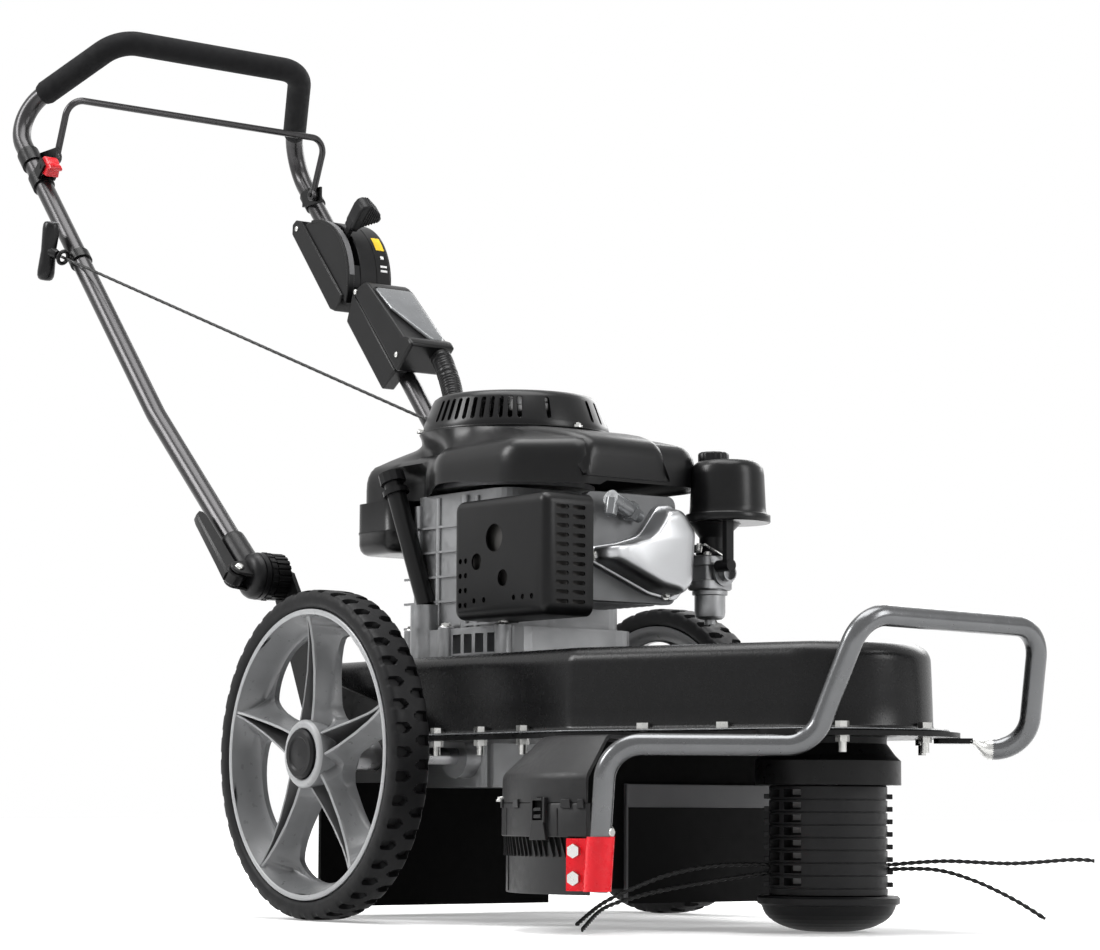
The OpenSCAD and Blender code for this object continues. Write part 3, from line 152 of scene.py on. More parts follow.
def surface(name, col, rough, metal=0.0, vary=0.18, vary_scale=30, grain=1500, grain_bump=0.05,
            peel=0, peel_bump=0.0, rough_span=0.08, spec=None, dust=0.0):
    m = Mat(name)
    lo = tuple(max(0, c * (1 - vary)) for c in col)
    hi = tuple(min(1, c * (1 + vary)) for c in col)
    c = m.mix(m.span(m.noise(vary_scale, 4), 0.3, 0.7, 0, 1), lo, hi)
    if dust:
        c = m.mix(m.span(m.noise(9, 6, 0.7), 0.5, 0.8, 0, dust), c, (0.2, 0.19, 0.175))
    m.link(c, m.b.inputs["Base Color"])
    worn = m.span(m.noise(vary_scale * 4, 3), 0.3, 0.7, rough - rough_span, rough + rough_span)
    m.link(worn, m.b.inputs["Roughness"])
    m.b.inputs["Metallic"].default_value = metal
    if grain_bump:
        m.bump(m.noise(grain, 2), grain_bump, 0.0006)
    if peel:
        m.bump(m.noise(peel, 1.5), peel_bump, 0.001)
    if spec is not None:
        m.b.inputs["Specular IOR Level"].default_value = spec
    return m.m


MATS = {
    "deck": surface("deck_gloss", (0.004, 0.004, 0.0043), 0.27, grain_bump=0, peel=640, peel_bump=0.12,
                    rough_span=0.015, spec=0.2),
    "plate": surface("plate_satin", (0.004, 0.004, 0.0042), 0.34, grain_bump=0.03, peel=500, peel_bump=0.04,
                     spec=0.16),
    "zinc": surface("zinc", (0.5, 0.5, 0.485), 0.3, 1.0, vary=0.1, grain=900, grain_bump=0.08),
    "steel": surface("steel", (0.5, 0.5, 0.51), 0.34, 1.0, vary=0.12, grain=1200, grain_bump=0.1),
    "plastic": surface("plastic_satin", (0.005, 0.005, 0.0055), 0.4, grain=2200, grain_bump=0.03,
                       rough_span=0.03, spec=0.17),
    "shell": surface("shell_plastic", (0.0045, 0.0045, 0.0048), 0.3, grain=1900, grain_bump=0.02,
                     rough_span=0.015, spec=0.2),
    "rim": surface("rim_plastic", (0.17, 0.173, 0.177), 0.34, grain=2000, grain_bump=0.08, vary=0.08),
    # The rim grey darkened is painted shade in the spoke grooves; the rim grey lightened is painted highlight
    # on the ridges, lips and hub ring.
    "rim_painted_shade": surface("rim_groove_painted_shade", (0.03, 0.03, 0.031), 0.45, grain=2000, grain_bump=0.08, vary=0.1),
    "rim_painted_highlight": surface("rim_edge_painted_highlight", (0.34, 0.345, 0.35), 0.34, grain=2000, grain_bump=0.08, vary=0.06),
    "tyre": surface("tyre_rubber", (0.007, 0.007, 0.0075), 0.5, grain=1300, grain_bump=0.12, vary=0.2,
                    dust=0.01, spec=0.13),
    "rubber": surface("sheet_rubber", (0.002, 0.002, 0.002), 0.6, grain_bump=0.06, spec=0.05),
    "silver": surface("silver_paint", (0.115, 0.117, 0.12), 0.25, 0.9, vary=0.05, grain=2600, grain_bump=0.02,
                      peel=500, peel_bump=0.02, rough_span=0.03),
    "red": surface("red_paint", (0.72, 0.0, 0.010), 0.3, grain_bump=0, peel=420, peel_bump=0.05, vary=0.05,
                   spec=0.3),
    "redp": surface("red_plastic", (0.5, 0.006, 0.012), 0.3, grain=1800, vary=0.08),
    "cast": surface("cast_aluminium", (0.26, 0.263, 0.268), 0.4, 0.8, vary=0.14, grain=900, grain_bump=0.12),
    # A darker copy of the cast aluminium: painted shade for the cylinder, which sits in shadow under the
    # cowl.
    "cast_painted_shade": surface("cast_aluminium_painted_shade", (0.12, 0.122, 0.125), 0.5, 0.5, vary=0.14, grain=900, grain_bump=0.12),
    "alu": surface("blasted_aluminium", (0.36, 0.364, 0.372), 0.36, 1.0, vary=0.03, grain=2400,
                   grain_bump=0.02, rough_span=0.015),
    "gun": surface("gunmetal", (0.034, 0.033, 0.034), 0.28, 0.75, vary=0.05, vary_scale=12, grain=2600,
                   grain_bump=0.01, rough_span=0.015),
    "foam": surface("foam", (0.007, 0.007, 0.0075), 0.78, grain=1100, grain_bump=0.3, vary=0.2, spec=0.12),
    "iron": surface("iron", (0.16, 0.16, 0.165), 0.45, 0.9, grain=800, grain_bump=0.15),
    "dark": surface("black_steel", (0.004, 0.004, 0.0043), 0.36, grain=1800, grain_bump=0.02, rough_span=0.02,
                    spec=0.18),
    "line": surface("line_nylon", (0.008, 0.008, 0.008), 0.4, grain_bump=0.1, spec=0.2),
    "strip": surface("grey_strip", (0.1, 0.1, 0.104), 0.5, grain_bump=0.08, vary=0.06),
    "burnt": surface("burnt_steel", (0.05, 0.048, 0.046), 0.5, 0.8, grain=900, grain_bump=0.1),
    "yellow": surface("yellow_mark", (0.75, 0.5, 0.01), 0.4, vary=0.06),
    "white": surface("white_mark", (0.75, 0.75, 0.75), 0.45, vary=0.06),
    "hood": surface("hood_plastic", (0.017, 0.017, 0.0175), 0.4, grain_bump=0.1, vary=0.14, spec=0.2),
    "panel": surface("panel_sheet", (0.003, 0.003, 0.0032), 0.5, vary=0.15, spec=0.08),
    # Near-black that stands in for shade: painted shade in the skirt's openings and on the panel's upper
    # part.
    "shade_black": surface("black_painted_shade", (0.002, 0.002, 0.002), 0.7, spec=0.06),
    "drum": surface("drum_plastic", (0.008, 0.008, 0.0085), 0.44, grain=1700, grain_bump=0.07, vary=0.16,
                    spec=0.18),
    "corelight": surface("core_grey", (0.13, 0.13, 0.13), 0.55, grain_bump=0.08, vary=0.12),
    "silverp": surface("grey_plate", (0.14, 0.145, 0.15), 0.22, 0.2, grain=1700, grain_bump=0.06, vary=0.1),
}

# CAD nodes that show as they are: material and edge width in mm
SHOWN = {
    "base_plate": ("plate", 1), "frame_brackets": ("plate", 0.8), "handle_brackets": ("plate", 0.5),
    "spindle_housing": ("plate", 1.2), "deck_bolts": ("zinc", 0.6), "clamp_bolts": ("zinc", 0.6),
    "idler_arm": ("zinc", 0), "axle": ("steel", 0), "spindle_shaft": ("steel", 0),
    "driven_pulley": ("steel", 0),
    "crankshaft": ("steel", 0), "drive_pulley": ("steel", 0), "gear_pulley": ("steel", 0),
    "flywheel": ("iron", 0),
    "gearbox": ("cast", 4), "crankcase": ("cast", 2.5), "muffler": ("burnt", 0), "rear_flap": ("rubber", 1),
    "belts": ("rubber", 0), "bumper_bracket": ("red", 0.8), "oil_tube": ("shell", 1),
    "spark_plug": ("silverp", 0.8),
    "fuel_cap": ("plastic", 1), "dipstick": ("plastic", 1), "mow_ball": ("plastic", 1),
    "hub_cap_right": ("plastic", 0), "hub_cap_left": ("plastic", 0), "idler_pulley": ("plastic", 0)}


def eased(ob, width, segments=3, angle=30):
    b = ob.modifiers.new("edge", "BEVEL")
    b.width, b.segments = width / 1000, segments
    b.limit_method, b.angle_limit = "ANGLE", rad(angle)
    return b


for name, (mat, edge) in SHOWN.items():
    nodes[name].data.materials.clear()
    nodes[name].data.materials.append(MATS[mat])
    if edge:
        eased(nodes[name], edge, 2, 32)


# Pieces and mesh helpers. Outlines, profiles and radii are in mm; paths and places are in the row frame.
def piece(name, mesh, mat, body, replaces=(), smooth=35, edge=None):
    """One visible piece; edge is a bevel's width and segments."""
    me = bpy.data.meshes.new(name)
    me.from_pydata([tuple(v) for v in mesh[0]], [], mesh[1])
    bm = bmesh.new()
    bm.from_mesh(me)
    bmesh.ops.remove_doubles(bm, verts=bm.verts, dist=1e-6)
    bmesh.ops.recalc_face_normals(bm, faces=bm.faces)
    for f in bm.faces:
        f.smooth = True
    for e in bm.edges:
        if len(e.link_faces) == 2 and e.calc_face_angle(0) > rad(smooth):
            e.smooth = False
    bm.to_mesh(me)
    bm.free()
    me.materials.append(MATS[mat])
    ob = bpy.data.objects.new(name, me)
    scene.collection.objects.link(ob)
    if body:
        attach(ob, body)
    if replaces:
        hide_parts(*replaces)
    if edge:
        eased(ob, *edge)
    return ob


def join(*meshes):
    v, f = [], []
    for mv, mf in meshes:
        start = len(v)
        v += list(mv)
        f += [tuple(i + start for i in q) for q in mf]
    return v, f


def loft(rings, cap0=False, cap1=True, closed=True):
    n = len(rings[0])
    v = [p for r in rings for p in r]
    f = []
    for i in range(len(rings) - 1):
        for k in range(n if closed else n - 1):
            k2 = (k + 1) % n
            f.append((i * n + k, i * n + k2, (i + 1) * n + k2, (i + 1) * n + k))
    if cap0:
        f.append(tuple(range(n))[::-1])
    if cap1:
        f.append(tuple((len(rings) - 1) * n + k for k in range(n)))
    return v, f


def ring(T, line, axis, level):
    """The outline placed by T, with its level put in as the given coordinate."""
    out = []
    for p, q in line:
        c = [p, q]
        c.insert(axis, level)
        out.append(T(*c))
    return out


def extrude(T, line, axis, ends):
    return loft([ring(T, line, axis, e) for e in ends], cap0=True)


def walls(T, line, levels, axis=2, cap0=True, cap1=True):
    """Loft through levels of (offset of the outline, place along the axis)."""
    return loft([ring(T, offset(line, grow), axis, at) for grow, at in levels], cap0, cap1)


def tapered(T, line, centre, levels, axis=0, cap0=True):
    """Loft through levels of (scale about the centre, place along the axis)."""
    return loft([ring(T, shrunk(line, k, centre), axis, at) for k, at in levels], cap0)


def shrunk(line, k, centre):
    return [(centre[0] + (x - centre[0]) * k, centre[1] + (y - centre[1]) * k) for x, y in line]


def rect(x0, x1, y0, y1):
    return [(x0, y0), (x1, y0), (x1, y1), (x0, y1)]


def arc(cx, cy, r, a0, a1, step):
    return [(cx + r * math.cos(rad(a)), cy + r * math.sin(rad(a))) for a in range(a0, a1, step)]


def placed(m):
    return lambda x, y, z: m @ (Vector((x, y, z)) / 1000)


def turn_at(p, axis="Z", deg=0):
    return Matrix.Translation(p) @ Matrix.Rotation(rad(deg), 4, axis)


def facing(p, direction):
    return Matrix.Translation(p) @ Vector(direction).to_track_quat("Z", "Y").to_matrix().to_4x4()


def revolve(profile, n, place=Matrix(), close=False):
    """Profile of (r, z) turned about z, then placed."""
    L = len(profile)
    v, f = [], []
    for i in range(n):
        a = 2 * pi * i / n
        j = (i + 1) % n
        v += [place @ (Vector((r * math.cos(a), r * math.sin(a), z)) / 1000) for r, z in profile]
        for k in range(L if close else L - 1):
            k2 = (k + 1) % L
            f.append((i * L + k, j * L + k, j * L + k2, i * L + k2))
    return v, f


def frames_along(pts):
    last = len(pts) - 1
    ahead = [(pts[min(i + 1, last)] - pts[max(i - 1, 0)]).normalized() for i in range(len(pts))]
    u = ahead[0].cross(Vector((1, 0, 0)) if abs(ahead[0].z) > 0.8 else Vector((0, 0, 1))).normalized()
    out = []
    for d in ahead:
        u = (u - u.dot(d) * d).normalized()
        out.append((u.copy(), d.cross(u)))
    return out


def sweep(pts, radius, sides=16):
    """Round section along pts; radius is a number or a function of the point's index and the side's angle."""
    rings = []
    for i, (u, w) in enumerate(frames_along(pts)):
        row = []
        for k in range(sides):
            a = 2 * pi * k / sides
            r = radius(i, a) if callable(radius) else radius
            row.append(pts[i] + r / 1000 * (math.cos(a) * u + math.sin(a) * w))
        rings.append(row)
    return loft(rings, cap0=True)


def rod(a, b, r, sides=20):
    return sweep([a, b], r, sides)


def resample(pts, step):
    out = [pts[0]]
    for a, b in zip(pts, pts[1:]):
        n = max(1, int((b - a).length / (step / 1000)))
        out += [a.lerp(b, k / n) for k in range(1, n + 1)]
    return out


def bent(pts, radii, n, step):
    """Line through corners, each rounded with its radius, in steps."""
    out = [pts[0]]
    for i in range(1, len(pts) - 1):
        a = (pts[i] - pts[i - 1]).normalized()
        b = (pts[i + 1] - pts[i]).normalized()
        r = (radii[i - 1] if isinstance(radii, list) else radii) / 1000
        turn = math.acos(max(-1, min(1, a.dot(b))))
        q = (b - a.dot(b) * a).normalized()
        c = pts[i] - a * r * math.tan(turn / 2) + q * r
        m = max(2, int(n * turn / (pi / 2)) + 1)
        for k in range(m + 1):
            out.append(c + r * (math.sin(turn * k / m) * a - math.cos(turn * k / m) * q))
    return resample(out + [pts[-1]], step)


def spline(p, n):
    out = []
    for i in range(len(p) - 1):
        a, b, c, d = p[max(i - 1, 0)], p[i], p[i + 1], p[min(i + 2, len(p) - 1)]
        for k in range(n):
            t = k / n
            cubic = (3 * b - a - 3 * c + d) * t ** 3
            out.append(0.5 * (2 * b + (c - a) * t + (2 * a - 5 * b + 4 * c - d) * t * t + cubic))
    return out + [p[-1]]


def runs(pts):
    """Length along pts up to each point, in metres."""
    out = [0]
    for a, b in zip(pts, pts[1:]):
        out.append(out[-1] + (b - a).length)
    return out


def round_poly(pts, radii, n=8):
    out = []
    c = len(pts)
    for i in range(c):
        p = Vector(pts[i]).to_2d()
        r = radii[i] if isinstance(radii, list) else radii
        a = (p - Vector(pts[i - 1]).to_2d()).normalized()
        b = (Vector(pts[(i + 1) % c]).to_2d() - p).normalized()
        turn = math.atan2(a.x * b.y - a.y * b.x, a.dot(b))
        if r <= 0 or abs(turn) < 0.02:
            out.append(p)
            continue
        q = Vector((-a.y, a.x)) * (1 if turn > 0 else -1)
        o = p - a * abs(r * math.tan(turn / 2)) + q * r
        for k in range(n + 1):
            w = abs(turn) * k / n
            out.append(o + r * (math.sin(w) * a - math.cos(w) * q))
    return out


def in_steps(pts, step):
    """The closed outline with more points on its long sides."""
    out = []
    for i, p in enumerate(pts):
        q = pts[(i + 1) % len(pts)]
        n = max(1, int((q - p).length / step))
        out += [p.lerp(q, k / n) for k in range(n)]
    return out


def offset(pts, d):
    out = []
    c = len(pts)
    for i, p in enumerate(pts):
        a = (p - pts[i - 1]).normalized()
        b = (pts[(i + 1) % c] - p).normalized()
        n = Vector((a.y + b.y, -a.x - b.x))
        out.append(p + n.normalized() / max(0.5, math.sqrt((1 + a.dot(b)) / 2)) * d)
    return out


def solidify(ob, thickness):
    m = ob.modifiers.new("wall", "SOLIDIFY")
    m.thickness = thickness / 1000
    m.offset = -1


def carve(*meshes):
    """The first mesh less each of the others, all closed."""
    obs = []
    for v, f in meshes:
        me = bpy.data.meshes.new("carve")
        me.from_pydata([tuple(p) for p in v], [], f)
        bm = bmesh.new()
        bm.from_mesh(me)
        bmesh.ops.remove_doubles(bm, verts=bm.verts, dist=1e-7)
        bmesh.ops.recalc_face_normals(bm, faces=bm.faces)
        bm.to_mesh(me)
        bm.free()
        ob = bpy.data.objects.new("carve", me)
        scene.collection.objects.link(ob)
        obs.append(ob)
    for cutter in obs[1:]:
        m = obs[0].modifiers.new("cut", "BOOLEAN")
        m.operation, m.solver, m.object = "DIFFERENCE", "EXACT", cutter
    dg = bpy.context.evaluated_depsgraph_get()
    dg.update()
    me = obs[0].evaluated_get(dg).to_mesh()
    v = [p.co.copy() for p in me.vertices]
    f = [tuple(p.vertices) for p in me.polygons]
    obs[0].evaluated_get(dg).to_mesh_clear()
    for ob in obs:
        me = ob.data
        bpy.data.objects.remove(ob)
        bpy.data.meshes.remove(me)
    return v, f


def hexbolt(at, axis, r=5.5, h=5):
    place = facing(at, axis)
    return join(revolve([(0, h), (r * 0.8, h), (r, h * 0.86), (r, 0)], 6, place),
                revolve([(0, 1.3), (r * 1.35, 1.3), (r * 1.4, 0.8), (r * 1.4, -1)], 24, place))


# The handle's line, with the two places that the starter rope runs between
HANDLE = [M(x, -y, z) for x, y, z in HANDLE_SIDE] + [M(*p) for p in HANDLE_SIDE[::-1]]
TUBE_LOW, TUBE_HIGH = HANDLE_SIDE[1], HANDLE_SIDE[2]


def tube_at(z, side):
    """The handle tube's axis at a height on its long straight."""
    t = (z - TUBE_LOW[2]) / (TUBE_HIGH[2] - TUBE_LOW[2])
    x, y = [TUBE_LOW[i] + (TUBE_HIGH[i] - TUBE_LOW[i]) * t for i in (0, 1)]
    return M(x, side * y, z)


def on_tube(z, side):
    """Own axes on the tube: x runs down it, z stands off it."""
    a = math.atan2(TUBE_HIGH[2] - TUBE_LOW[2], TUBE_LOW[0] - TUBE_HIGH[0])
    o = tube_at(z, side)
    down, off = Vector((math.cos(a), 0, -math.sin(a))), Vector((math.sin(a), 0, math.cos(a)))
    return lambda x, y, z: o + (x * down + Vector((0, y, 0)) + z * off) / 1000


ROPE_EYE = M(-59, -64, 563)
ROPE_GUIDE = tube_at(812, -1) + Vector((0, -0.024, 0))
ROPE_WAY = (ROPE_GUIDE - ROPE_EYE).normalized()


# Cords
def twisted(pts, r, sides, strands, pitch, deep=0.22):
    run = runs(pts)

    def radius(i, a):
        return r * (1 - deep * (0.5 + 0.5 * math.cos(strands * (a - 2 * pi * run[i] / (pitch / 1000)))))

    return sweep(pts, radius, sides)


def make_rope():
    stroke, past_guide = 0.455, 0.0105
    end = ROPE_GUIDE + ROPE_WAY * past_guide
    pts = resample([ROPE_EYE, end], 3)
    rope = piece("recoil_rope", twisted(pts, 2, 12, 3, 12), "line", None, ["starter_rope"])
    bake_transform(rope)
    tail = resample([ROPE_GUIDE - ROPE_WAY * stroke, end], 4)
    piece("rope_tail", sweep(tail, 1.4, 10), "line", "pull")


def make_conduit():
    rib_pitch, rib_depth, outer_r = 4.8, 1.5, 14
    route = [(-463, 236, 710.6), (-441, 230, 688), (-417, 222, 660), (-380, 206, 612), (-340, 186, 556),
             (-300, 168, 496), (-265, 154, 434), (-228, 140, 384), (-180, 124, 350), (-136, 110.2, 318),
             (-133, 109.3, 285.9)]
    pts = resample(spline([M(*p) for p in route], 24), 0.8)
    run = runs(pts)

    def radius(i, a):
        return outer_r - rib_depth * (0.5 + 0.5 * math.cos(2 * pi * run[i] / (rib_pitch / 1000)))

    hose = piece("ribbed_conduit", sweep(pts, radius, 28), "shell", None, ["control_conduit"], smooth=60)
    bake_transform(hose)


def make_lines():
    """Cutting lines in mm from the spindle's axis, each starting on the drum's wall."""
    drum_r = 59.03
    routes = [[(37, 48, 66), (70, 92, 70), (110, 146, 68), (146, 194, 72), (160, 212, 71)],
              [(46, 39, 62), (80, 68, 62), (110, 92, 52), (140, 117, 34), (164, 137, 15)],
              [(-33, -51, 66), (-60, -92, 65), (-82, -132, 57), (-98, -172, 42), (-104, -206, 27),
               (-76, -258, 9)],
              [(-30, -51, 58), (-56, -92, 51), (-90, -134, 41), (-102, -172, 32), (-98, -210, 22),
               (-52, -270, 5)]]
    for i, route in enumerate(routes):
        x, y, z = route[0]
        k = drum_r / math.hypot(x, y)
        way = [Vector((x * k, y * k, z)) / 1000] + [Vector(p) / 1000 for p in route[1:]]
        pts = resample(spline(way, 30), 1.4)
        mesh = twisted(pts, 2.3, 16, 2, 16, 0.42)
        ob = piece(f"cutting_line_{i + 1}", mesh, "line", "spindle", ["trim_lines"], smooth=60)


make_rope()
make_conduit()
make_lines()


# Tubes
def make_handle():
    bar = bent(HANDLE, [120, 50, 45, 45, 50, 120], 14, 20)
    piece("handle_bar", sweep(bar, 12, 28), "gun", "handle", ["handle_tube"], smooth=50)
    share = 0.3
    grip = [HANDLE[2].lerp(HANDLE[3], share), HANDLE[3], HANDLE[4], HANDLE[5].lerp(HANDLE[4], share)]
    grip = bent(grip, 45, 16, 6)
    last = len(grip) - 1
    sleeve = sweep(grip, lambda i, a: 13.8 if i in (0, last) else 16, 32)
    foam = piece("foam_sleeve", sleeve, "foam", "handle", ["foam_grip"], smooth=50)


def make_bail():
    x, y, z = -721, 198, 963
    lean, rise = 31, 73
    pts = [M(x, -y, z), M(x + lean, -y, z + rise), M(x + lean, y, z + rise), M(x, y, z)]
    eye = [(3.1, -4), (7.2, -4), (8, -3.2), (8, 3.2), (7.2, 4), (3.1, 4)]
    eyes = [revolve(eye, 24, turn_at(M(x, s * y, z), "X", 90), close=True) for s in (-1, 1)]
    piece("bail_rod", join(sweep(bent(pts, 22, 12, 20), 4.5, 20), *eyes), "gun", "bail", ["bail"], smooth=50)


BUMPER_END = (613.5, 162.6)


def make_bumper():
    low = BUMPER_Z
    pts = [(498, -249, 42), (512, -249, low), (624, -88, low), (668, -62, 306), (668, 176, 302),
           (636, 190, low), (*BUMPER_END, low)]
    tube = sweep(bent([M(*p) for p in pts], 36, 16, 20), BUMPER_R, 32)
    piece("bumper_tube", tube, "silver", "chassis", ["bumper_bar"], smooth=50)


def make_bumper_end():
    """The tube's end, flattened to a tab below the base plate."""
    ahead, side = (-0.635, -0.772), (0.772, -0.635)

    def at(run, y, z):
        x0, y0 = BUMPER_END
        return M(x0 + ahead[0] * run + side[0] * y, y0 + ahead[1] * run + side[1] * y, z)

    def swell(c, power):
        return math.copysign(abs(c) ** power, c)

    rings = []
    turn = [2 * pi * k / 32 for k in range(32)]
    for run, wide, high, z, power in ((-1, BUMPER_R, BUMPER_R, BUMPER_Z, 1), (4, 10.6, 10.2, 181.6, 1),
                                      (9, 11.6, 8.2, 182.6, 0.85), (14, 13.2, 5.2, 186, 0.7),
                                      (18, 14.2, 3.2, 188.4, 0.6), (22, 14.6, 2.6, 189.5, 0.6)):
        rings.append([at(run, swell(math.cos(a), power) * wide,
                         z + swell(math.sin(a), power) * high) for a in turn])
    piece("bumper_crimp", loft(rings), "zinc", "chassis", smooth=50)
    flat = [(20, -14.5), (44, -14.5), (54, -10), (58, 0), (54, 10), (44, 14.5), (20, 14.5)]
    piece("bumper_tab", extrude(at, flat, 2, (187, 192.2)), "plate", "chassis")


make_handle()
make_bail()
make_bumper()
make_bumper_end()


# Wheels: tables give a size in mm at each radius
SPOKES = 5
RIM_IN, RIM_OUT, BARREL_R = 47.0, 139.0, 151
GROOVE = [(37, 11.5), (60, 9.6), (90, 6.6), (120, 3.6), (149, 1.0)]
SPOKE_HALF = [(37, 24), (46, 19), (60, 16.4), (75, 15), (90, 14.6), (105, 15.6), (118, 18.5), (128, 23.5),
              (139, 36)]
RIDGE_Z = [(36, 21), (60, 17.5), (90, 15.5), (120, 16.2), (138, 18.5), (150, 21)]
FLOOR_Z = [(36, 4), (60, -3), (90, -8), (139, -10)]
RIDGE_W, LIP_W = 2.0, 0.8


def table(t, x):
    if x <= t[0][0]:
        return t[0][1]
    for (x0, y0), (x1, y1) in zip(t, t[1:]):
        if x <= x1:
            return y0 + (y1 - y0) * (x - x0) / (x1 - x0)
    return t[-1][1]


def sector(r):
    """Half of one spoke's share of the circle, along the arc."""
    return r * pi / SPOKES


def rim_width(r):
    """Half width of the web at a radius: the whole sector outside the windows."""
    if r <= RIM_IN or r >= RIM_OUT:
        return sector(r)
    gap = max(0, sector(r) - table(SPOKE_HALF, r))
    inner = 1 - min((r - RIM_IN) / 9, 1)
    outer = 1 - min((RIM_OUT - r) / 13, 1)
    return sector(r) - gap * math.sqrt(max(0, 1 - inner * inner)) * math.sqrt(max(0, 1 - outer * outer))


def rim_height(r, d):
    """Height of the web at a distance from the spoke's middle: groove, ridge, then a slope to the floor."""
    groove, top, floor = table(GROOVE, r), table(RIDGE_Z, r), table(FLOOR_Z, r)
    d = abs(d)
    if d < groove - LIP_W:
        z = top - min(19, 4 + 2.1 * groove) * (1 - d / groove) - 1.2
    elif d < groove:
        z = top - 1.2 * (groove - d) / LIP_W
    elif d < groove + RIDGE_W:
        z = top
    else:
        side = min(rim_width(r), table(SPOKE_HALF, r) + 10) if r < RIM_OUT else sector(r)
        t = min(1, (d - groove - RIDGE_W) / max(2, min(side, 26) - groove - RIDGE_W))
        z = floor + (top - 1.5 - floor) * (1 - t) ** 1.35
    if r > RIM_OUT:
        z = max(z, -10 + 31 * ((r - RIM_OUT) / (BARREL_R - RIM_OUT)) ** 1.5)
    return max(z, floor) if r < 50 else z


def rim_face():
    rows = [30, 33, 36, 38, 41, 44, 46, 47, 47.15, 47.6, 48.4, 49.6, 51.2, 53.2, 56, 59.2, 62, 66]
    rows += range(70, 116, 5)
    rows += [119, 123, 126, 128.6, 131, 133, 135, 136.6, 137.8, 138.5, 138.9, 139]
    rows += [140.2, 141.6, 143, 144.4, 145.8, 147.2, 148.6, 149.8, 151]
    faces = []
    for s in range(SPOKES):
        rings = []
        for r in rows:
            groove = table(GROOVE, r)
            half = [groove * 0.4, groove - LIP_W, groove, groove + RIDGE_W, groove + RIDGE_W + LIP_W]
            half += [half[4] + (rim_width(r) - half[4]) * k / 5 for k in range(1, 6)]
            row = []
            for d in [-x for x in half[::-1]] + [0] + half:
                a = rad(90 + 360 / SPOKES * s) + d / r
                row.append(Vector((r * math.cos(a), r * math.sin(a), rim_height(r, d))) / 1000)
            rings.append(row)
        faces.append(loft(rings, cap1=False, closed=False))
    return join(*faces)


def rim_web():
    """The rim's face with walls turned down round its windows."""
    window_floor = -0.016
    me = bpy.data.meshes.new("rim_face")
    v, f = rim_face()
    me.from_pydata(v, [], f)
    bm = bmesh.new()
    bm.from_mesh(me)
    bmesh.ops.remove_doubles(bm, verts=bm.verts, dist=2e-5)
    bmesh.ops.recalc_face_normals(bm, faces=bm.faces)
    if sum(q.normal.z * q.calc_area() for q in bm.faces) < 0:
        bmesh.ops.reverse_faces(bm, faces=bm.faces)
    edges = []
    for e in bm.edges:
        reach = [p.co.xy.length for p in e.verts]
        if e.is_boundary and 0.042 < min(reach) and max(reach) < 0.1395:
            edges.append(e)
    for q in bmesh.ops.extrude_edge_only(bm, edges=edges)["geom"]:
        if isinstance(q, bmesh.types.BMVert):
            q.co.z = window_floor
    bm.verts.ensure_lookup_table()
    bm.verts.index_update()
    web = [p.co.copy() for p in bm.verts], [tuple(p.index for p in q.verts) for q in bm.faces]
    bm.free()
    bpy.data.meshes.remove(me)
    return web


def make_rim(name, place):
    barrel = [(151, 21), (152, 21.8), (155.6, 21.8), (156.8, 21), (156.9, -21), (152, -21), (147, -19),
              (141, -16),
              (139, -14), (139, -10.2)]
    hub = [(9.6, -29), (31, -29), (32, -28), (32, -6), (37, -4), (37, 21.5), (35.2, 24.2), (33.5, 25),
           (29, 25),
           (27.6, 24.2), (27.1, 23), (27.1, 20.1), (9.6, 20.1), (9.6, -29)]
    v, f = join(rim_web(), revolve(barrel, 160), revolve(hub, 96))
    mesh = [place @ p for p in v], f
    ob = piece(f"rim_{name}_sculpted", mesh, "rim", "wheel_" + name, ["rim_" + name], smooth=40)
    ob.data.materials.append(MATS["rim_painted_shade"])
    ob.data.materials.append(MATS["rim_painted_highlight"])
    # Slot dark is painted shade down the spoke grooves; slot light is painted highlight on the ridges, the
    # hub's top ring and the barrel's lip.
    plain, dark, light = range(3)
    back = place.inverted()
    for q in ob.data.polygons:
        c = back @ q.center
        r = c.xy.length * 1000
        a = (math.atan2(c.y, c.x) - pi / 2 + pi / SPOKES) % (2 * pi / SPOKES) - pi / SPOKES
        d, groove = abs(a) * r, table(GROOVE, r)
        if r < 37.4:
            q.material_index = light if r > 27.6 and c.z > 0.0208 else plain
        elif r < 149 and c.z > -0.009:
            q.material_index = dark if d < groove - 0.6 else light if d < groove + 2.1 else plain
        elif r > 150.5 and c.z > 0.0205:
            q.material_index = light


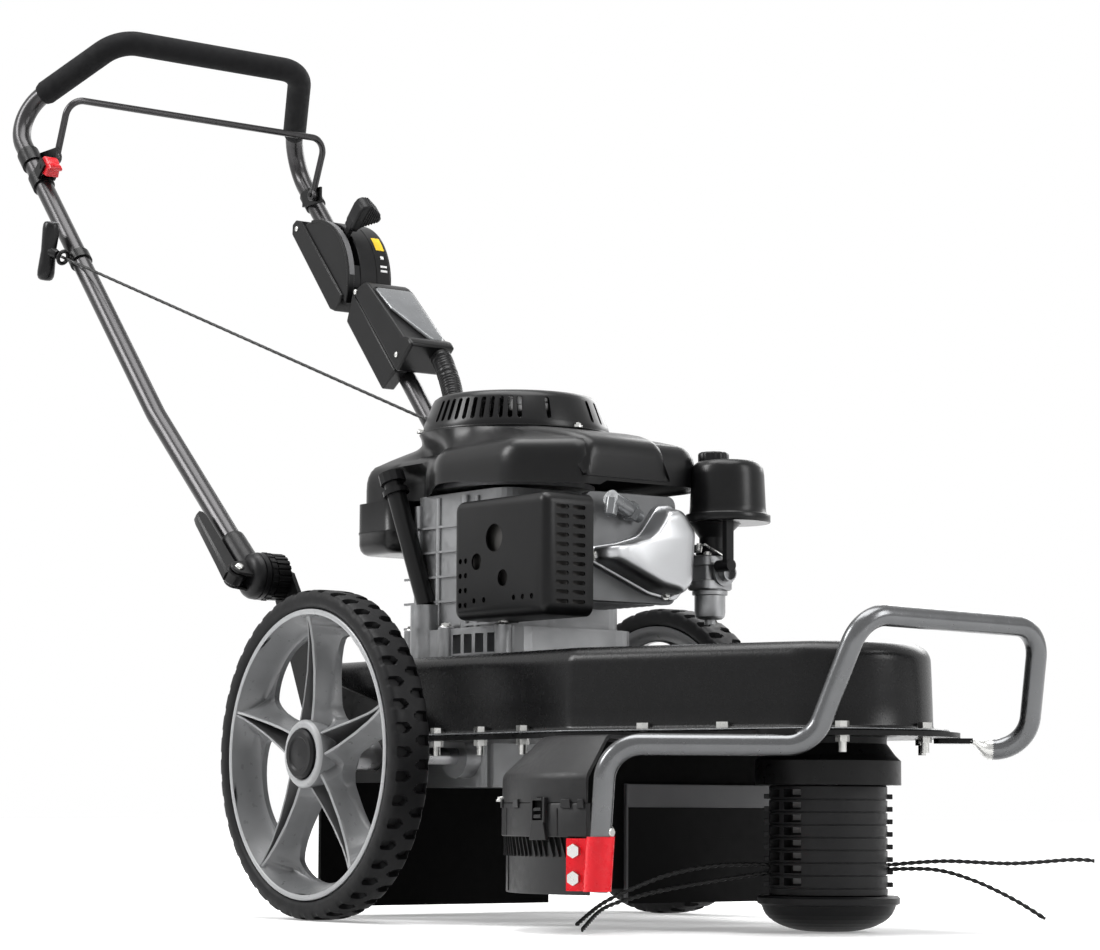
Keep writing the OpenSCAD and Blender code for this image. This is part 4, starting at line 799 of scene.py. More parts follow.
def make_tyre(name, place):
    """Two rows of pointed pockets, half a pitch apart, with notches in the shoulders."""
    lugs, pitch = 44, 25.4
    pocket_half, pocket_deep, notch_half, notch_deep = 5.6, 6.0, 4.0, 1.3
    half = [0, 1.6, 3.4, 5.2, 6.0, 6.9, 7.7, 10.2]
    steps = [-pitch / 2] + [-t for t in half[:0:-1]] + half
    prof = [(157, 18), (158.5, 20.2), (161, 22.2), (164, 22.9), (168.5, 23), (171, 22.6), (173.5, 21.9),
            (175.2, 21.0),
            (176.4, 19.8), (176.9, 18.9), (177.2, 18.1), (177.7, 15.5), (177.9, 13)]
    prof += [(178, z) for z in (11, 9, 7, 5, 4, 3.2, 2.2, 1.2, 0)]
    prof += [(r, -z) for r, z in prof[-2::-1]]

    def sunk(t, r, z):
        t = ((t if z > 0 else t - pitch / 2) + pitch / 2) % pitch - pitch / 2
        if abs(z) >= 19.3:
            return notch_deep if r > 173 and abs(t) < notch_half else 0
        if r <= 174 or abs(z) <= 3.0:
            return 0
        return pocket_deep if abs(t) < pocket_half * min(1, (abs(z) - 3.0) / 5.0) else 0

    rings = []
    for k in range(lugs):
        for t in steps:
            a = (k + t / pitch) * 2 * pi / lugs
            row = [((r - sunk(t, r, z)), z) for r, z in prof]
            rings.append([place @ (Vector((r * math.cos(a), r * math.sin(a), z)) / 1000) for r, z in row])
    mesh = loft(rings + rings[:1], cap1=False)
    piece(f"tyre_{name}_lugs", mesh, "tyre", "wheel_" + name, ["tyre_" + name], smooth=38)


for side, name in ((-1, "right"), (1, "left")):
    hub_place = turn_at(M(0, side * WHEEL_Y, AXLE_Z), "X", -side * 90)
    make_rim(name, hub_place)
    make_tyre(name, hub_place)


# Deck pressing with a rolled flange
def make_deck():
    nose_r, top_r = 105, 18.0
    nose = arc(HEAD_X, HEAD_Y, nose_r, -56, 83, 3)
    w = DECK_HALF_W
    plan = nose + [(342, w), (DECK_BACK, w), (DECK_BACK, -w), (322, -w)]
    line = in_steps(round_poly(plan, [0] * len(nose) + [60, 26, 26, 34]), 14)
    levels = [(15.6, 197.2), (16, 198), (16, 199.2), (15.2, 200), (5, 200), (2.6, 200.5), (1, 201.8),
              (0.2, 204),
              (-0.3, 225), (-1, 250), (-1.6, 266)]
    for a in range(10, 91, 10):
        levels.append((-1.6 - top_r * (1 - math.cos(rad(a))), DECK_TOP - top_r + top_r * math.sin(rad(a))))
    ob = piece("deck_pressing", walls(M, line, levels, cap0=False), "deck", "chassis", ["deck_shell"],
               smooth=40)
    solidify(ob, 2.5)
    # A thin light grey bead round the flange's edge: a painted highlight along the rolled flange.
    bead = [(15.9, 198.0), (16.5, 198.2), (16.7, 198.7), (16.5, 199.2), (15.9, 199.4)]
    piece("flange_painted_highlight", walls(M, line, bead, cap0=False, cap1=False), "silverp", "chassis", smooth=60)


make_deck()


# Cowl: walls from the plan drawn in to the starter's round seat, with a ridge towards the cylinder
def cowl_walls():
    seat_r, dent_x, dent_half, dent_deep = 109, -90, 40, 24
    plan = [(212, -66), (212, 90), (160, 127), (-120, 127), (-193, 82), (-201, -58), (-186, -83), (-44, -89),
            (15, -122),
            (152, -122)]
    line = in_steps(round_poly(plan, [30, 34, 40, 50, 40, 26, 24, 60, 60, 46]), 9)
    levels = [(-2.0, 187.0, 0), (-0.3, 186.2, 0), (0, 188, 0), (0, 204, 0), (-0.5, 212, 0), (-2, 219, 0),
              (-5, 225.5, 0), (-9.5, 230.5, 0), (-14, 233.5, 0.04), (-14, 238, 0.22), (-14, 243, 0.45),
              (-14, 248, 0.7), (-14, 252.5, 0.9), (-14, 255, 1.0), (-14, 255.6, 1.03)]
    rings = []
    for grow, z, to_seat in levels:
        row = []
        for p in offset(line, grow):
            a = math.atan2(p.y, p.x)
            q = p.lerp(Vector((seat_r * math.cos(a), seat_r * math.sin(a))), to_seat)
            if q.y < 0 and z < 226 and abs(q.x - dent_x) < dent_half:
                k = 0.5 + 0.5 * math.cos(pi * (q.x - dent_x) / dent_half)
                q.y += dent_deep * k ** 0.6 * max(0, min(1, (224 - z) / 8))
            lift = 0
            if z < 200 and q.y < -40 and q.x > -50:
                wave = max(0, math.sin(pi * min(1, max(0, (q.x + 40) / 150))))
                lift = (6 * wave - 5 * max(0, (q.x - 110) / 100)) * (1 - max(0, z - 186) / 18)
            row.append(E(q.x, q.y, z + lift))
        rings.append(row)
    return loft(rings, cap1=False)


def cowl_ridge():
    r, middle, foot_z = 14, -8, 190
    stations = [(60, 80, 255), (90, 72, 254.5), (120, 66, 252), (150, 62, 248), (178, 58.5, 242.5),
                (197, 56, 236.5),
                (207, 54, 231), (212.5, 52, 224), (214, 51, 212), (214, 50.5, 196)]
    rings = []
    for x, half, top in stations:
        left = arc(-half + r, top - r, r, 180, 89, -15)
        right = arc(half - r, top - r, r, 90, -1, -15)
        line = [(-half - 8, top - 30)] + left + right + [(half + 8, top - 30)]
        rings.append([E(x, y + middle, max(z, foot_z)) for y, z in line])
    return loft(rings, closed=False)


cowl = piece("cooling_cowl", join(cowl_walls(), cowl_ridge()), "shell", "chassis", ["shroud"], smooth=50)
solidify(cowl, 2.5)


# Consoles on the left tube
CONSOLE = on_tube(930, 1)
DOME_X, DOME_R, DOME_TOP = 95, 90, 47


def dome(level):
    """The console's round back above a level."""
    low = math.asin((DOME_R - DOME_TOP + level) / DOME_R)
    turn = [low + (pi - 2 * low) * k / 36 for k in range(37)]
    return [(DOME_X + DOME_R * math.cos(a), DOME_TOP - DOME_R + DOME_R * math.sin(a)) for a in turn]


def arc_band(x0, x1, y0, y1, lift, n):
    """Band on the round back between two places along the tube."""
    inner = 3
    a0, a1 = [math.acos((x - DOME_X) / DOME_R) for x in (x0, x1)]
    turn = [a0 + (a1 - a0) * k / n for k in range(n + 1)]
    line = []
    for r, angles in ((DOME_R + lift, turn), (DOME_R - inner, turn[::-1])):
        line += [(DOME_X + r * math.cos(a), DOME_TOP - DOME_R + r * math.sin(a)) for a in angles]
    return extrude(CONSOLE, line, 1, (y0, y1))


def console_bar(line, y0, y1):
    return extrude(CONSOLE, line, 1, (y0, y1))


def make_upper_console():
    tray = [(-4, -8), (10, 0), (164, 0), (168, -8), (168, -26), (156, -32), (4, -28), (-6, -18)]
    piece("console_tray", console_bar(tray, -13.6, -40), "shell", "handle", ["console_upper"], edge=(2, 3))
    piece("console_near_cheek", console_bar(dome(-4), -27, -37), "shell", "handle", edge=(1.2, 3))
    piece("console_near_rim", arc_band(26, 163, -38.2, -35.6, 1.2, 40), "shell", "handle", edge=(0.5, 2))
    piece("console_far_cheek", console_bar(dome(13.6), -17, 33), "plastic", "handle", edge=(1.2, 3))
    ends = ([(26, 14), (42, 14), (42, 28), (34, 20)], [(139, 14), (163, 14), (156, 22), (139, 34)])
    piece("console_ends", join(*[console_bar(e, -28, -16) for e in ends]), "plastic", "handle", edge=(0.6, 2))
    piece("console_grey_strip", arc_band(48, 152, -35.4, -27.2, 0.9, 30), "strip", "handle", edge=(0.4, 2))
    piece("quadrant_plate", arc_band(70, 158, 9, 30, 0.8, 30), "dark", "handle", edge=(0.4, 2))
    piece("quadrant_yellow", arc_band(92, 115, 14, 27, 1.2, 10), "yellow", "handle")
    ticks = [arc_band(124, 128.5, 18, 23, 1.2, 3)] + [arc_band(x, x + 2.5, 15.5, 26, 1.2, 2) for x in (137,
                                                                                                       142.5)]
    piece("quadrant_marks", join(*ticks), "white", "handle")


def make_lower_console():
    body = [(172, 13.7), (184, 42), (194, 46), (310, 56), (322, 63.5), (333.8, 63.5), (333.8, 13.7)]
    piece("console_hood", console_bar(body, -34, 36), "shell", "handle", ["console_lower"], edge=(4, 4))
    keel = [(174, 14), (332, 14), (327, -24), (193, -22)]
    piece("console_keel", console_bar(keel, -13.6, -34), "shell", "handle", edge=(3, 3))
    edge = round_poly([(203, -24), (206, -28), (250, -24), (292, -4), (312, 6), (318, 12), (318, 24),
                       (312, 30),
                       (206, 31), (203, 28)], 5, 4)

    def on_slope(levels):
        rows = []
        for k, h in levels:
            flat = zip(edge, shrunk(edge, k, (240, 4)))
            rows.append([CONSOLE(x, y, 46 + (p.x - 194) * 10 / 116 + h) for p, (x, y) in flat])
        return rows

    plate = on_slope(((1, -1), (1, 1.6), (0.975, 3.0), (0.93, 3.6)))
    piece("console_bright_plate", loft(plate), "silverp", "handle")
    rim = on_slope(((1.07, -0.5), (1.065, 1.6), (1.03, 1.6), (1.025, -0.5)))
    piece("console_plate_frame", loft(rim, cap1=False), "shell", "handle")
    screw = [(0, 2.2), (2.6, 2), (3.6, 1.2), (3.8, -1)]
    spots = ((180, -34, 20), (318, -34, 30), (8, -40, -14))
    screws = [revolve(screw, 20, turn_at(CONSOLE(*p), "X", 90)) for p in spots]
    piece("console_screws", join(*screws), "zinc", "handle")


def make_shift_lever():
    stem = console_bar([(81.5, 2), (94.5, 2), (94, 40), (93, 72), (83, 72), (82, 40)], -25.4, -18.6)
    eye = [(4.2, -3.5), (9, -3.5), (9, 3.5), (4.2, 3.5)]
    hub = revolve(eye, 28, turn_at(CONSOLE(88, -22, 8), "X", 90), close=True)
    sleeve = [(79.5, 57), (96.5, 57), (97, 74), (79, 74)]
    piece("shift_sleeve", console_bar(sleeve, -28.5, -14), "plastic", "shift", edge=(2.5, 3))
    piece("shift_stem", join(stem, hub), "plastic", "shift", ["shift_lever"], edge=(1.5, 3))
    head = [(-28, 66), (-29, 92), (-27, 100), (-21, 104), (-13, 103), (6, 91), (10, 86), (9, 80), (-4, 74),
            (-13, 67),
            (-18, 60), (-26, 60)]
    piece("shift_knob", extrude(CONSOLE, head, 0, (76.5, 99.5)), "plastic", "shift", edge=(4, 4))
    ribs = []
    for k in range(7):
        y = -16 + 3.4 * k
        hi = 103.5 - max(0, y + 13) * 0.63
        lo = 69.5 + max(0, y + 13) * 0.6
        line = [(75.4, lo), (100.6, lo), (100.6, hi - 3), (98, hi + 0.6), (78, hi + 0.6), (75.4, hi - 3)]
        ribs.append(console_bar(line, y - 0.8, y + 0.8))
    piece("shift_knob_ribs", join(*ribs), "plastic", "shift", edge=(0.5, 2))


make_upper_console()
make_lower_console()
make_shift_lever()


# Engine pieces
BORE_Z = 115


def make_valve_cover():
    face_x, centre = 212.2, (8, 112)
    edge = [(-66, 112), (-62, 97), (18, 65), (54, 59), (68, 72), (73, 138), (52, 165), (30, 162), (4, 128),
            (-30, 118)]
    line = in_steps(round_poly(edge, [6, 9, 40, 14, 14, 16, 16, 14, 30, 40]), 4)
    levels = ((1, 0), (1, 5.2), (0.99, 6.4), (0.975, 6.8), (0.925, 6.9), (0.912, 7.6), (0.905, 9.5),
              (0.895, 17),
              (0.88, 24), (0.855, 29.5), (0.82, 33), (0.77, 35.3), (0.70, 36.4), (0.6, 36.8))
    cover = tapered(E, line, centre, [(k, face_x + w) for k, w in levels], cap0=False)
    piece("valve_cover_shell", cover, "alu", "chassis", ["valve_cover"], smooth=45)
    spots = ((-55.5, 104), (41, 66.5), (63, 146))
    bolts = [hexbolt(E(face_x + 6.4, y, z), (1, 0, 0), 4.5) for y, z in spots]
    piece("valve_cover_bolts", join(*bolts), "zinc", "chassis")


def make_cylinder():
    parts = [revolve([(48, 0), (48, 112)], 48, turn_at(E(97, 0, BORE_Z), "Y", 90))]
    half = 61.5
    fin = round_poly(rect(-half, half, 55.5, 174), 14, 5)
    for x in range(104, 192, 13):
        parts.append(tapered(E, fin, (0, BORE_Z), ((0.985, x), (1, x + 0.6), (1, x + 3.2), (0.985, x + 3.8))))
    face = round_poly(rect(-half, half, 56, 174), 10, 5)
    parts.append(tapered(E, face, (0, BORE_Z), ((0.99, 198), (1, 199), (1, 210.5), (0.985, 211.8))))
    # The cylinder's darker casting colour is painted shade.
    piece("cylinder_casting", join(*parts), "cast_painted_shade", "chassis", ["finned_cylinder"], smooth=40)


def make_guard():
    """Rounded box over the muffler: three large holes, rows of small ones and two rows of slots."""
    x0, y0, z0, wide, high = 62, -130, 38, 168, 130
    face = round_poly(rect(x0, x0 + wide, z0, z0 + high), 12, 6)
    outer = [(0, -66.2), (0, -120), (-0.8, -124), (-2.6, -127), (-5.4, -129), (-9, -129.8)]
    inner = [(-2, -60), (-2, -120), (-4.6, -125.4), (-10, -127.8)]
    small = [(x, z, 3, 16) for z in (16, 32, 48, 64) for x in (14, 24)] + [(x, 20, 3, 16) for x in (40, 58,
                                                                                                    112, 128,
                                                                                                    144)]
    holes = []
    for x, z, r, sides in [(44, 62, 9, 36), (76, 86, 15, 36), (92, 42, 9, 36)] + small:
        holes.append(rod(E(x0 + x, -140, z0 + z), E(x0 + x, -110, z0 + z), r, sides))
    slot_r, slot_long = 2.2, 12.6
    for y in (y0 + 14 + slot_r, y0 + 36 + slot_r):
        for k in range(11):
            z = z0 + 14.25 + 10 * k
            slot = arc(y, z, slot_r, 90, 271, 30) + arc(y + slot_long, z, slot_r, -90, 91, 30)
            holes.append(extrude(E, slot, 0, (x0 + 150, x0 + 180)))
    mesh = carve(walls(E, face, outer, 1), walls(E, face, inner, 1), join(*holes))
    piece("muffler_guard_shell", mesh, "dark", "chassis", ["muffler_guard"], smooth=32)


def make_case_details():
    wall_y = -84
    ribs = []
    for x, r, top in ((-70, 5, 176), (-30, 4, 182), (22, 6, 182), (44, 4, 180)):
        ribs.append(rod(E(x, wall_y, 34), E(x, wall_y, top), r))
    spots = ((-74, -89), (-46, -97), (4, -97), (100, -89))
    boss = [(9.5, 0), (9.5, 34), (8.5, 35), (0, 35)]
    ribs += [revolve(boss, 28, turn_at(E(x, y, 0))) for x, y in spots]
    for k in range(5):
        z = 36 + 28 * k
        ribs.append(extrude(E, rect(-93, 96, z, z + 2.6), 1, (wall_y - 4 - 0.001 * k, wall_y)))
    piece("case_ribs", join(*ribs), "cast", "chassis")
    piece("case_bolts", join(*[hexbolt(E(x, y, 35), (0, 0, 1)) for x, y in spots]), "zinc", "chassis")


def make_carburettor():
    body = round_poly(rect(196, 232, 88, 128), 7, 4)
    levels = [(-1.5, 74), (0, 75.5), (0, 84), (-3, 85), (-3, 100), (0, 101), (0, 110.5), (-1.5, 112)]
    bowl = [(0, 37), (6, 37), (6, 41.5), (13, 42.5), (16, 45), (17, 50), (17, 68), (19.5, 69), (19.5, 73),
            (17, 74),
            (17, 76)]
    inlet = [(14, 0), (14, 3), (9, 3), (9, 12), (7.6, 12), (7.6, 4), (0, 4)]
    parts = [walls(E, body, levels), revolve(bowl, 40, turn_at(E(214, 108, 0))),
             revolve(inlet, 32, turn_at(E(232, 112, 92), "Y", 90)),
             extrude(E, rect(64, 86, 79, 107), 0, (196.5, 210.5))]
    piece("carb_casting", join(*parts), "cast", "chassis", ["carburettor"])
    lever = [(214, 114), (228, 114), (230, 122), (216, 123)]
    links = [rod(E(224, 84, 116), E(224, 84, 124), 2.5), rod(E(205, 84.5, 121), E(234, 84.5, 122), 1.4),
             rod(E(234, 84.5, 122), E(238, 118, 106), 1.4), extrude(E, lever, 1, (83, 84.6))]
    links += [hexbolt(E(x, y, 112.5), (0, 0, 1), 3.2, 3) for x, y in ((200, 93), (228, 93), (228, 124))]
    piece("carb_linkage", join(*links), "zinc", "chassis")
    neck = [(20, 112.5), (20, 117), (16, 118), (16, 132), (22, 140), (30, 147.8)]
    post = extrude(E, rect(252, 259, 94, 104), 2, (98, 148))
    foot = rod(E(238, 100, 99), E(260, 100, 99), 6.5)
    piece("intake_elbow", join(revolve(neck, 40, turn_at(E(216, 112, 0))), post, foot), "plastic", "chassis")


def make_filter():
    can = [(0, 147.9), (46, 148), (46.8, 149), (46.8, 156), (46, 157), (43.2, 157.4), (42.4, 158.4),
           (41.8, 165),
           (40.2, 200), (39, 208), (36.6, 212.6), (33, 215.2), (28, 216), (0, 216)]
    knob_x, knob_y, knob_r, flat_deep = 218, 110, 17, 0.9
    knob = []
    for i in range(48):
        r = knob_r - (flat_deep if i % 4 < 2 else 0)
        knob.append((knob_x + r * math.cos(2 * pi * i / 48), knob_y + r * math.sin(2 * pi * i / 48)))
    levels = ((1, 215.8), (1, 223.4), (0.96, 225.2), (0.88, 226))
    mesh = join(revolve(can, 96, turn_at(E(228, 122, 0))),
                tapered(E, knob, (knob_x, knob_y), levels, 2, cap0=False))
    piece("filter_canister", mesh, "shell", "chassis", ["air_filter"], smooth=40)


def make_tank():
    plan = round_poly(rect(-190, -106, -95, 99), 20)
    levels = [(-13, 126), (-9, 126.6), (-5, 128.4), (-1.8, 132), (-0.2, 138), (0, 150), (0.8, 151),
              (0.8, 153), (0, 154),
              (0, 186)]
    neck = [(18, 184), (18, 242.6), (17.4, 243), (15, 243), (15, 184)]
    parts = [walls(E, plan, levels), revolve(neck, 40, turn_at(E(-136, 75, 0))),
             extrude(E, rect(-107, -85, 30, 60), 2, (136, 156))]
    piece("tank_shell", join(*parts), "shell", "chassis", ["fuel_tank"], smooth=40)


def make_starter_cover():
    """Slots on the rope side and the far side, few between, and a star of slots on top."""
    seat_z = 256
    prof = [(98, 0), (105.6, 0), (106.4, 1), (106.2, 5), (105.4, 8), (95.2, 34.5), (93, 38.6), (89, 41.4),
            (83, 42.9),
            (60, 43.4), (0, 43.6), (0, 40.4), (60, 40.2), (82, 39.6), (89, 36), (98, 8)]
    place = turn_at(E(0, 0, seat_z))
    slot = arc(0, 31.5, 2.7, 0, 181, 30) + arc(0, 11.5, 2.7, 180, 361, 30)
    angles = [-94 + 6 * k for k in range(11)] + [-15.5, 19, 30] + [86 + 6 * k for k in range(11)] + [190, 210]
    cuts = [extrude(placed(place @ Matrix.Rotation(rad(a), 4, "Z")), slot, 0, (80, 116)) for a in angles]
    for r in (20, 34, 48, 62):
        for k in range(6):
            spoke = placed(place @ Matrix.Rotation(rad(60 * k), 4, "Z"))
            cuts.append(extrude(spoke, rect(r, r + 6, -9, 9), 2, (36, 50)))
    shell = carve(revolve(prof, 144, place, close=True), join(*cuts))
    spout = rod(ROPE_EYE - ROPE_WAY * 0.016, ROPE_EYE, 6.5, 24)
    piece("starter_cover", join(shell, spout), "shell", "chassis", ["recoil_cover"], smooth=32)
    lip = [(103, -0.4), (108.6, -0.4), (109, 0.4), (108.6, 1.6), (105.8, 2.2)]
    piece("starter_cover_lip", revolve(lip, 144, place), "shell", "chassis", smooth=40)
    bolts = []
    for a in (-116, 3, 120):
        at = E(108 * math.cos(rad(a)), 108 * math.sin(rad(a)), seat_z + 1.6)
        bolts.append(hexbolt(at, (0, 0, 1), 4, 4))
    piece("starter_cover_bolts", join(*bolts), "zinc", "chassis")


make_valve_cover()
make_cylinder()
make_guard()
make_case_details()
make_carburettor()
make_filter()
make_tank()
make_starter_cover()


# Hood, skirt and panel round the head
HOOD_X, HOOD_Y, SKIRT_R = 420, -100, 161


def hood_at(r, a, z):
    return M(HOOD_X + r * math.cos(rad(a)), HOOD_Y + r * math.sin(rad(a)), z)


def hood_ring(profile, a0=190, a1=293, n=60):
    return loft([[hood_at(r, a0 + (a1 - a0) * i / n, z) for r, z in profile] for i in range(n + 1)],
                cap0=True)


def hood_patch(a, line, r0, r1):
    """Outline of (mm round the skirt, z) standing between two radii."""
    return extrude(lambda r, u, z: hood_at(r, a + u / SKIRT_R * 180 / pi, z), line, 0, (r0, r1))


def make_hood():
    shell = [(60, 188), (60, 192), (119, 192), (123.5, 191.3), (126.5, 189.4), (161.6, 155.6), (163.8, 152.3),
             (164.6, 148), (165, 126), (161.4, 126), (160.8, 147.4), (159.6, 150.6), (124, 185.2), (118, 188)]
    piece("hood_shell", hood_ring(shell), "hood", "chassis", ["debris_hood"], smooth=40, edge=(0.5, 2))
    skirt = [(157, 38), (160.2, 38), (160.8, 38.8), (160.8, 125.6), (157, 125.6)]
    piece("skirt_wall", hood_ring(skirt), "hood", "chassis", ["shield_skirt"], smooth=40)
    band = [(160.9, 93), (164.2, 93), (165.4, 94.2), (165.4, 124), (164.6, 125.4), (160.9, 125.4)]
    piece("skirt_band", hood_ring(band, 191), "hood", "chassis", smooth=40)
    bolts = [hexbolt(hood_at(165.6, 236, 128), (0, 0, 1), 4.2, 4), hexbolt(M(508.6, -244, 98), (1, 0.3, 0))]
    piece("hood_bolts", join(*bolts), "zinc", "chassis")


def make_skirt_details():
    face, buckle = 165.2, 273
    raised = []
    for a, w in ((222, 6), (240, 7), (258, 6), (285, 6), (291, 4)):
        raised.append(hood_patch(a, [(-w, 121), (w, 121), (w - 1, 129.4), (1 - w, 129.4)], face, 167.2))
    raised += [hood_patch(a, rect(-1, 1, 94, 121), face, 166.2) for a in (200, 212, 228, 248, 281)]
    bars = (rect(-10, -7, 107, 131), rect(7, 10, 107, 131), rect(-7, 7, 128, 131), rect(-5, 5, 118, 121),
            rect(-5, 5, 111, 114.5), [(-8, 109), (8, 109), (12, 90), (-12, 90)])
    raised += [hood_patch(buckle, line, face, 169.6) for line in bars]
    piece("skirt_buckle", join(*raised), "hood", "chassis", edge=(0.5, 2))
    # Black patches in the buckle and behind the vanes stand for openings: painted shade, not holes.
    shade_patches = [hood_patch(buckle, rect(-7, 7, 107.5, 128.5), face, 165.8),
            hood_patch(buckle, rect(-13, 13, 88, 93), 161, 162)]
    vanes = []
    a = 200
    while a < 291:
        shade_patches.append(hood_patch(a, [(-3.4, 93.4), (3.2, 93.4), (3.2, 76)], 160.6, 161.5))
        vanes.append(hood_patch(a, [(-4.0, 93.4), (-3.3, 93.4), (3.5, 75), (2.9, 74)], 160.6, 163.4))
        a += 2.75 if int(a) % 3 else 3.6
    piece("skirt_gaps_painted_shade", join(*shade_patches), "shade_black", "chassis")
    piece("skirt_vanes", join(*vanes), "hood", "chassis")


def make_panel():
    """Panel behind the head: sheet with a seam, proud band, an upper part and a wing to the hood in black as
    painted shade, and a painted highlight strip on the left edge.
    """
    x, y0, y1, top = 350, -100, 160, 192

    def block(x0, x1, z0, z1, y0=y0, y1=y1):
        return extrude(M, rect(x0, x1, y0, y1), 2, (z0, z1))

    sheet = join(block(x, 354, 25, 91.4), block(x, 353.6, 91.4, 92.6), block(x, 354, 92.6, 122))
    piece("panel_sheet", sheet, "panel", "chassis", ["back_panel"])
    piece("panel_band", block(350.4, 357, 122.2, 146, y0=-99), "strip", "chassis", edge=(0.8, 2))
    wing = [(-100.2, 40), (-100.2, 190), (-182, 190), (-246, 148), (-246, 40)]
    # The upper part and the wing fill out the panel; their black is painted shade under the deck.
    upper = join(block(346, x, 122, top), block(330, 346, 189, top), extrude(M, wing, 0, (350.5, 352.5)))
    piece("panel_top_painted_shade", upper, "shade_black", "chassis")
    # A lighter grey strip along the panel's left edge: a painted highlight.
    piece("panel_edge_painted_highlight", block(352, 357, 25, 146, -101.4, -99.2), "strip", "chassis", edge=(0.4, 2))


make_hood()
make_skirt_details()
make_panel()


# Cutting head drum: rows with windows on two sides and pegs between them
def polar(r, a, z):
    return Vector((r * math.cos(rad(a)), r * math.sin(rad(a)), z)) / 1000


def make_head():
    drum_r, low, row = 59, 36, 107 / 8.6
    levels = [low + row * (k + 0.55) for k in range(8)]
    prof = [(0, 36.2), (58.4, 36.2), (drum_r, 36.8)]
    for z in levels:
        prof += [(drum_r, z - 0.2), (57.6, z + 0.1), (57.6, z + 1.0), (drum_r, z + 1.4)]
    prof += [(drum_r, 143.2), (57.8, 144.6), (0, 144.6)]
    window_sides, peg_sides = (-93, 87), (-132, 48)
    cuts, core, pegs = [], [], []
    for side in window_sides:
        for a0, a1 in ((-26, -4), (3, 24)):
            steps = [side + a0 + (a1 - a0) * k / 6 for k in range(7)]
            outline = [(49.5, a) for a in steps] + [(64, a) for a in steps[::-1]]
            cuts += [extrude(polar, outline, 2, (z + 3.0, z + row - 1.9)) for z in levels]
        for z in levels:
            for a0, a1 in ((-13, -5), (7, 23)):
                core.append(extrude(polar, rect(49.2, 50.2, side + a0, side + a1), 2,
                                    (z + 5.0, z + row - 1.8)))
    for side in peg_sides:
        peg = [(57, side - 3.4), (64.2, side - 3), (64.2, side + 3), (57, side + 3.4)]
        pegs += [extrude(polar, peg, 2, (z + 1.2, z + 6.2)) for z in levels]
    piece("drum_rows", carve(revolve(prof, 120), join(*cuts)), "drum", "spindle", ["trim_head"], smooth=30)
    piece("drum_pegs", join(*pegs), "drum", "spindle", edge=(0.6, 2))
    piece("drum_core", join(*core), "corelight", "spindle")


make_head()


# Fold joints with their clamp levers, on axes that follow the folded tube
def knuckle(x, y, z):
    a = math.atan2(TUBE_LOW[2] - FOLD_Z, FOLD_X - TUBE_LOW[0])
    return M(FOLD_X + x * math.cos(a) + z * math.sin(a), y, FOLD_Z - x * math.sin(a) + z * math.cos(a))


KNUCKLE_UP = (knuckle(0, 0, 1) - knuckle(0, 0, 0)).normalized()


def make_knuckles():
    prof = [(0, 189.4), (25.6, 189.4), (26.8, 190.4), (27, 197), (25.2, 197.6), (25.2, 198.8), (27.2, 199.4),
            (27.2, 204.6), (25.6, 205.2), (25.6, 206.4), (26.9, 207), (26.6, 210), (24.6, 214), (20.4, 217.2),
            (15, 218),
            (0, 218)]
    tooth = [(25, -1.5), (27.9, -0.9), (27.9, 0.9), (25, 1.5)]
    socket = [(14, 15), (24, 15.6), (58, 15.2), (64, 14.9), (65.4, 14.2), (66, 12.8)]
    rivet = [(0, 3.1), (2.8, 2.9), (4.6, 2), (5.6, 0.4), (5.6, -0.5)]
    pin_y, tube_y = 231, 207
    discs, ears, rivets = [], [], []
    for s in (-1, 1):
        about = turn_at(M(FOLD_X, 0, FOLD_Z), "X", -s * 90)
        discs.append(revolve(prof, 72, about))
        for k in range(20):
            turn = about @ Matrix.Rotation(rad(18 * k), 4, "Z")
            discs.append(extrude(placed(turn), tooth, 2, (190, 196.6)))
        start = M(FOLD_X, s * tube_y, FOLD_Z)
        way = (M(TUBE_LOW[0], s * TUBE_LOW[1], TUBE_LOW[2]) - start).normalized()
        discs.append(sweep([start + way * x / 1000 for x, r in socket], lambda i, a: socket[i][1], 40))
        ear = [(x, s * y) for x, y in arc(0, pin_y, 10.5, 0, 181, 15) + [(-14, 217), (14, 217)]]
        ears += [extrude(knuckle, ear, 2, ends) for ends in ((8.5, 12.3), (-12.3, -8.5))]
        rivets += [revolve(rivet, 28, facing(knuckle(0, s * pin_y, 12.3 * q), KNUCKLE_UP * q)) for q in (1,
                                                                                                         -1)]
    piece("knuckle_discs", join(*discs), "plastic", "handle", ["knuckles"])
    piece("knuckle_ears", join(*ears), "shell", "handle", edge=(0.8, 2))
    piece("knuckle_rivets", join(*rivets), "zinc", "handle", smooth=60)


def make_clamp_lever(s, name):
    cam_y, arm_y, arm_long, taper = 232.5, 235, 110, 0.18
    cam = [(0, -7.9), (11, -7.9), (12.4, -6.4), (12.4, 6.4), (11, 7.9), (0, 7.9)]
    arm = [(2, 225.6), (2, 247), (-22, 245.4), (-98, 241.6), (-107, 239.6), (-111, 235), (-110, 229.6),
           (-104, 226.6),
           (-22, 225.4)]
    rings = []
    for z, k in ((-7, 0.9), (-5.4, 1), (3.6, 1), (6.2, 0.78)):
        row = []
        for x, y in arm:
            thin = 1 - taper * min(1, max(0, -x / arm_long))
            row.append(knuckle(x, s * (arm_y + (y - arm_y) * k), z * thin))
        rings.append(row)
    mesh = join(revolve(cam, 48, facing(knuckle(0, s * cam_y, 0), KNUCKLE_UP)), loft(rings, cap0=True))
    piece("clamp_lever_" + name, mesh, "shell", "cam_" + name, ["cam_lever_" + name], smooth=28)


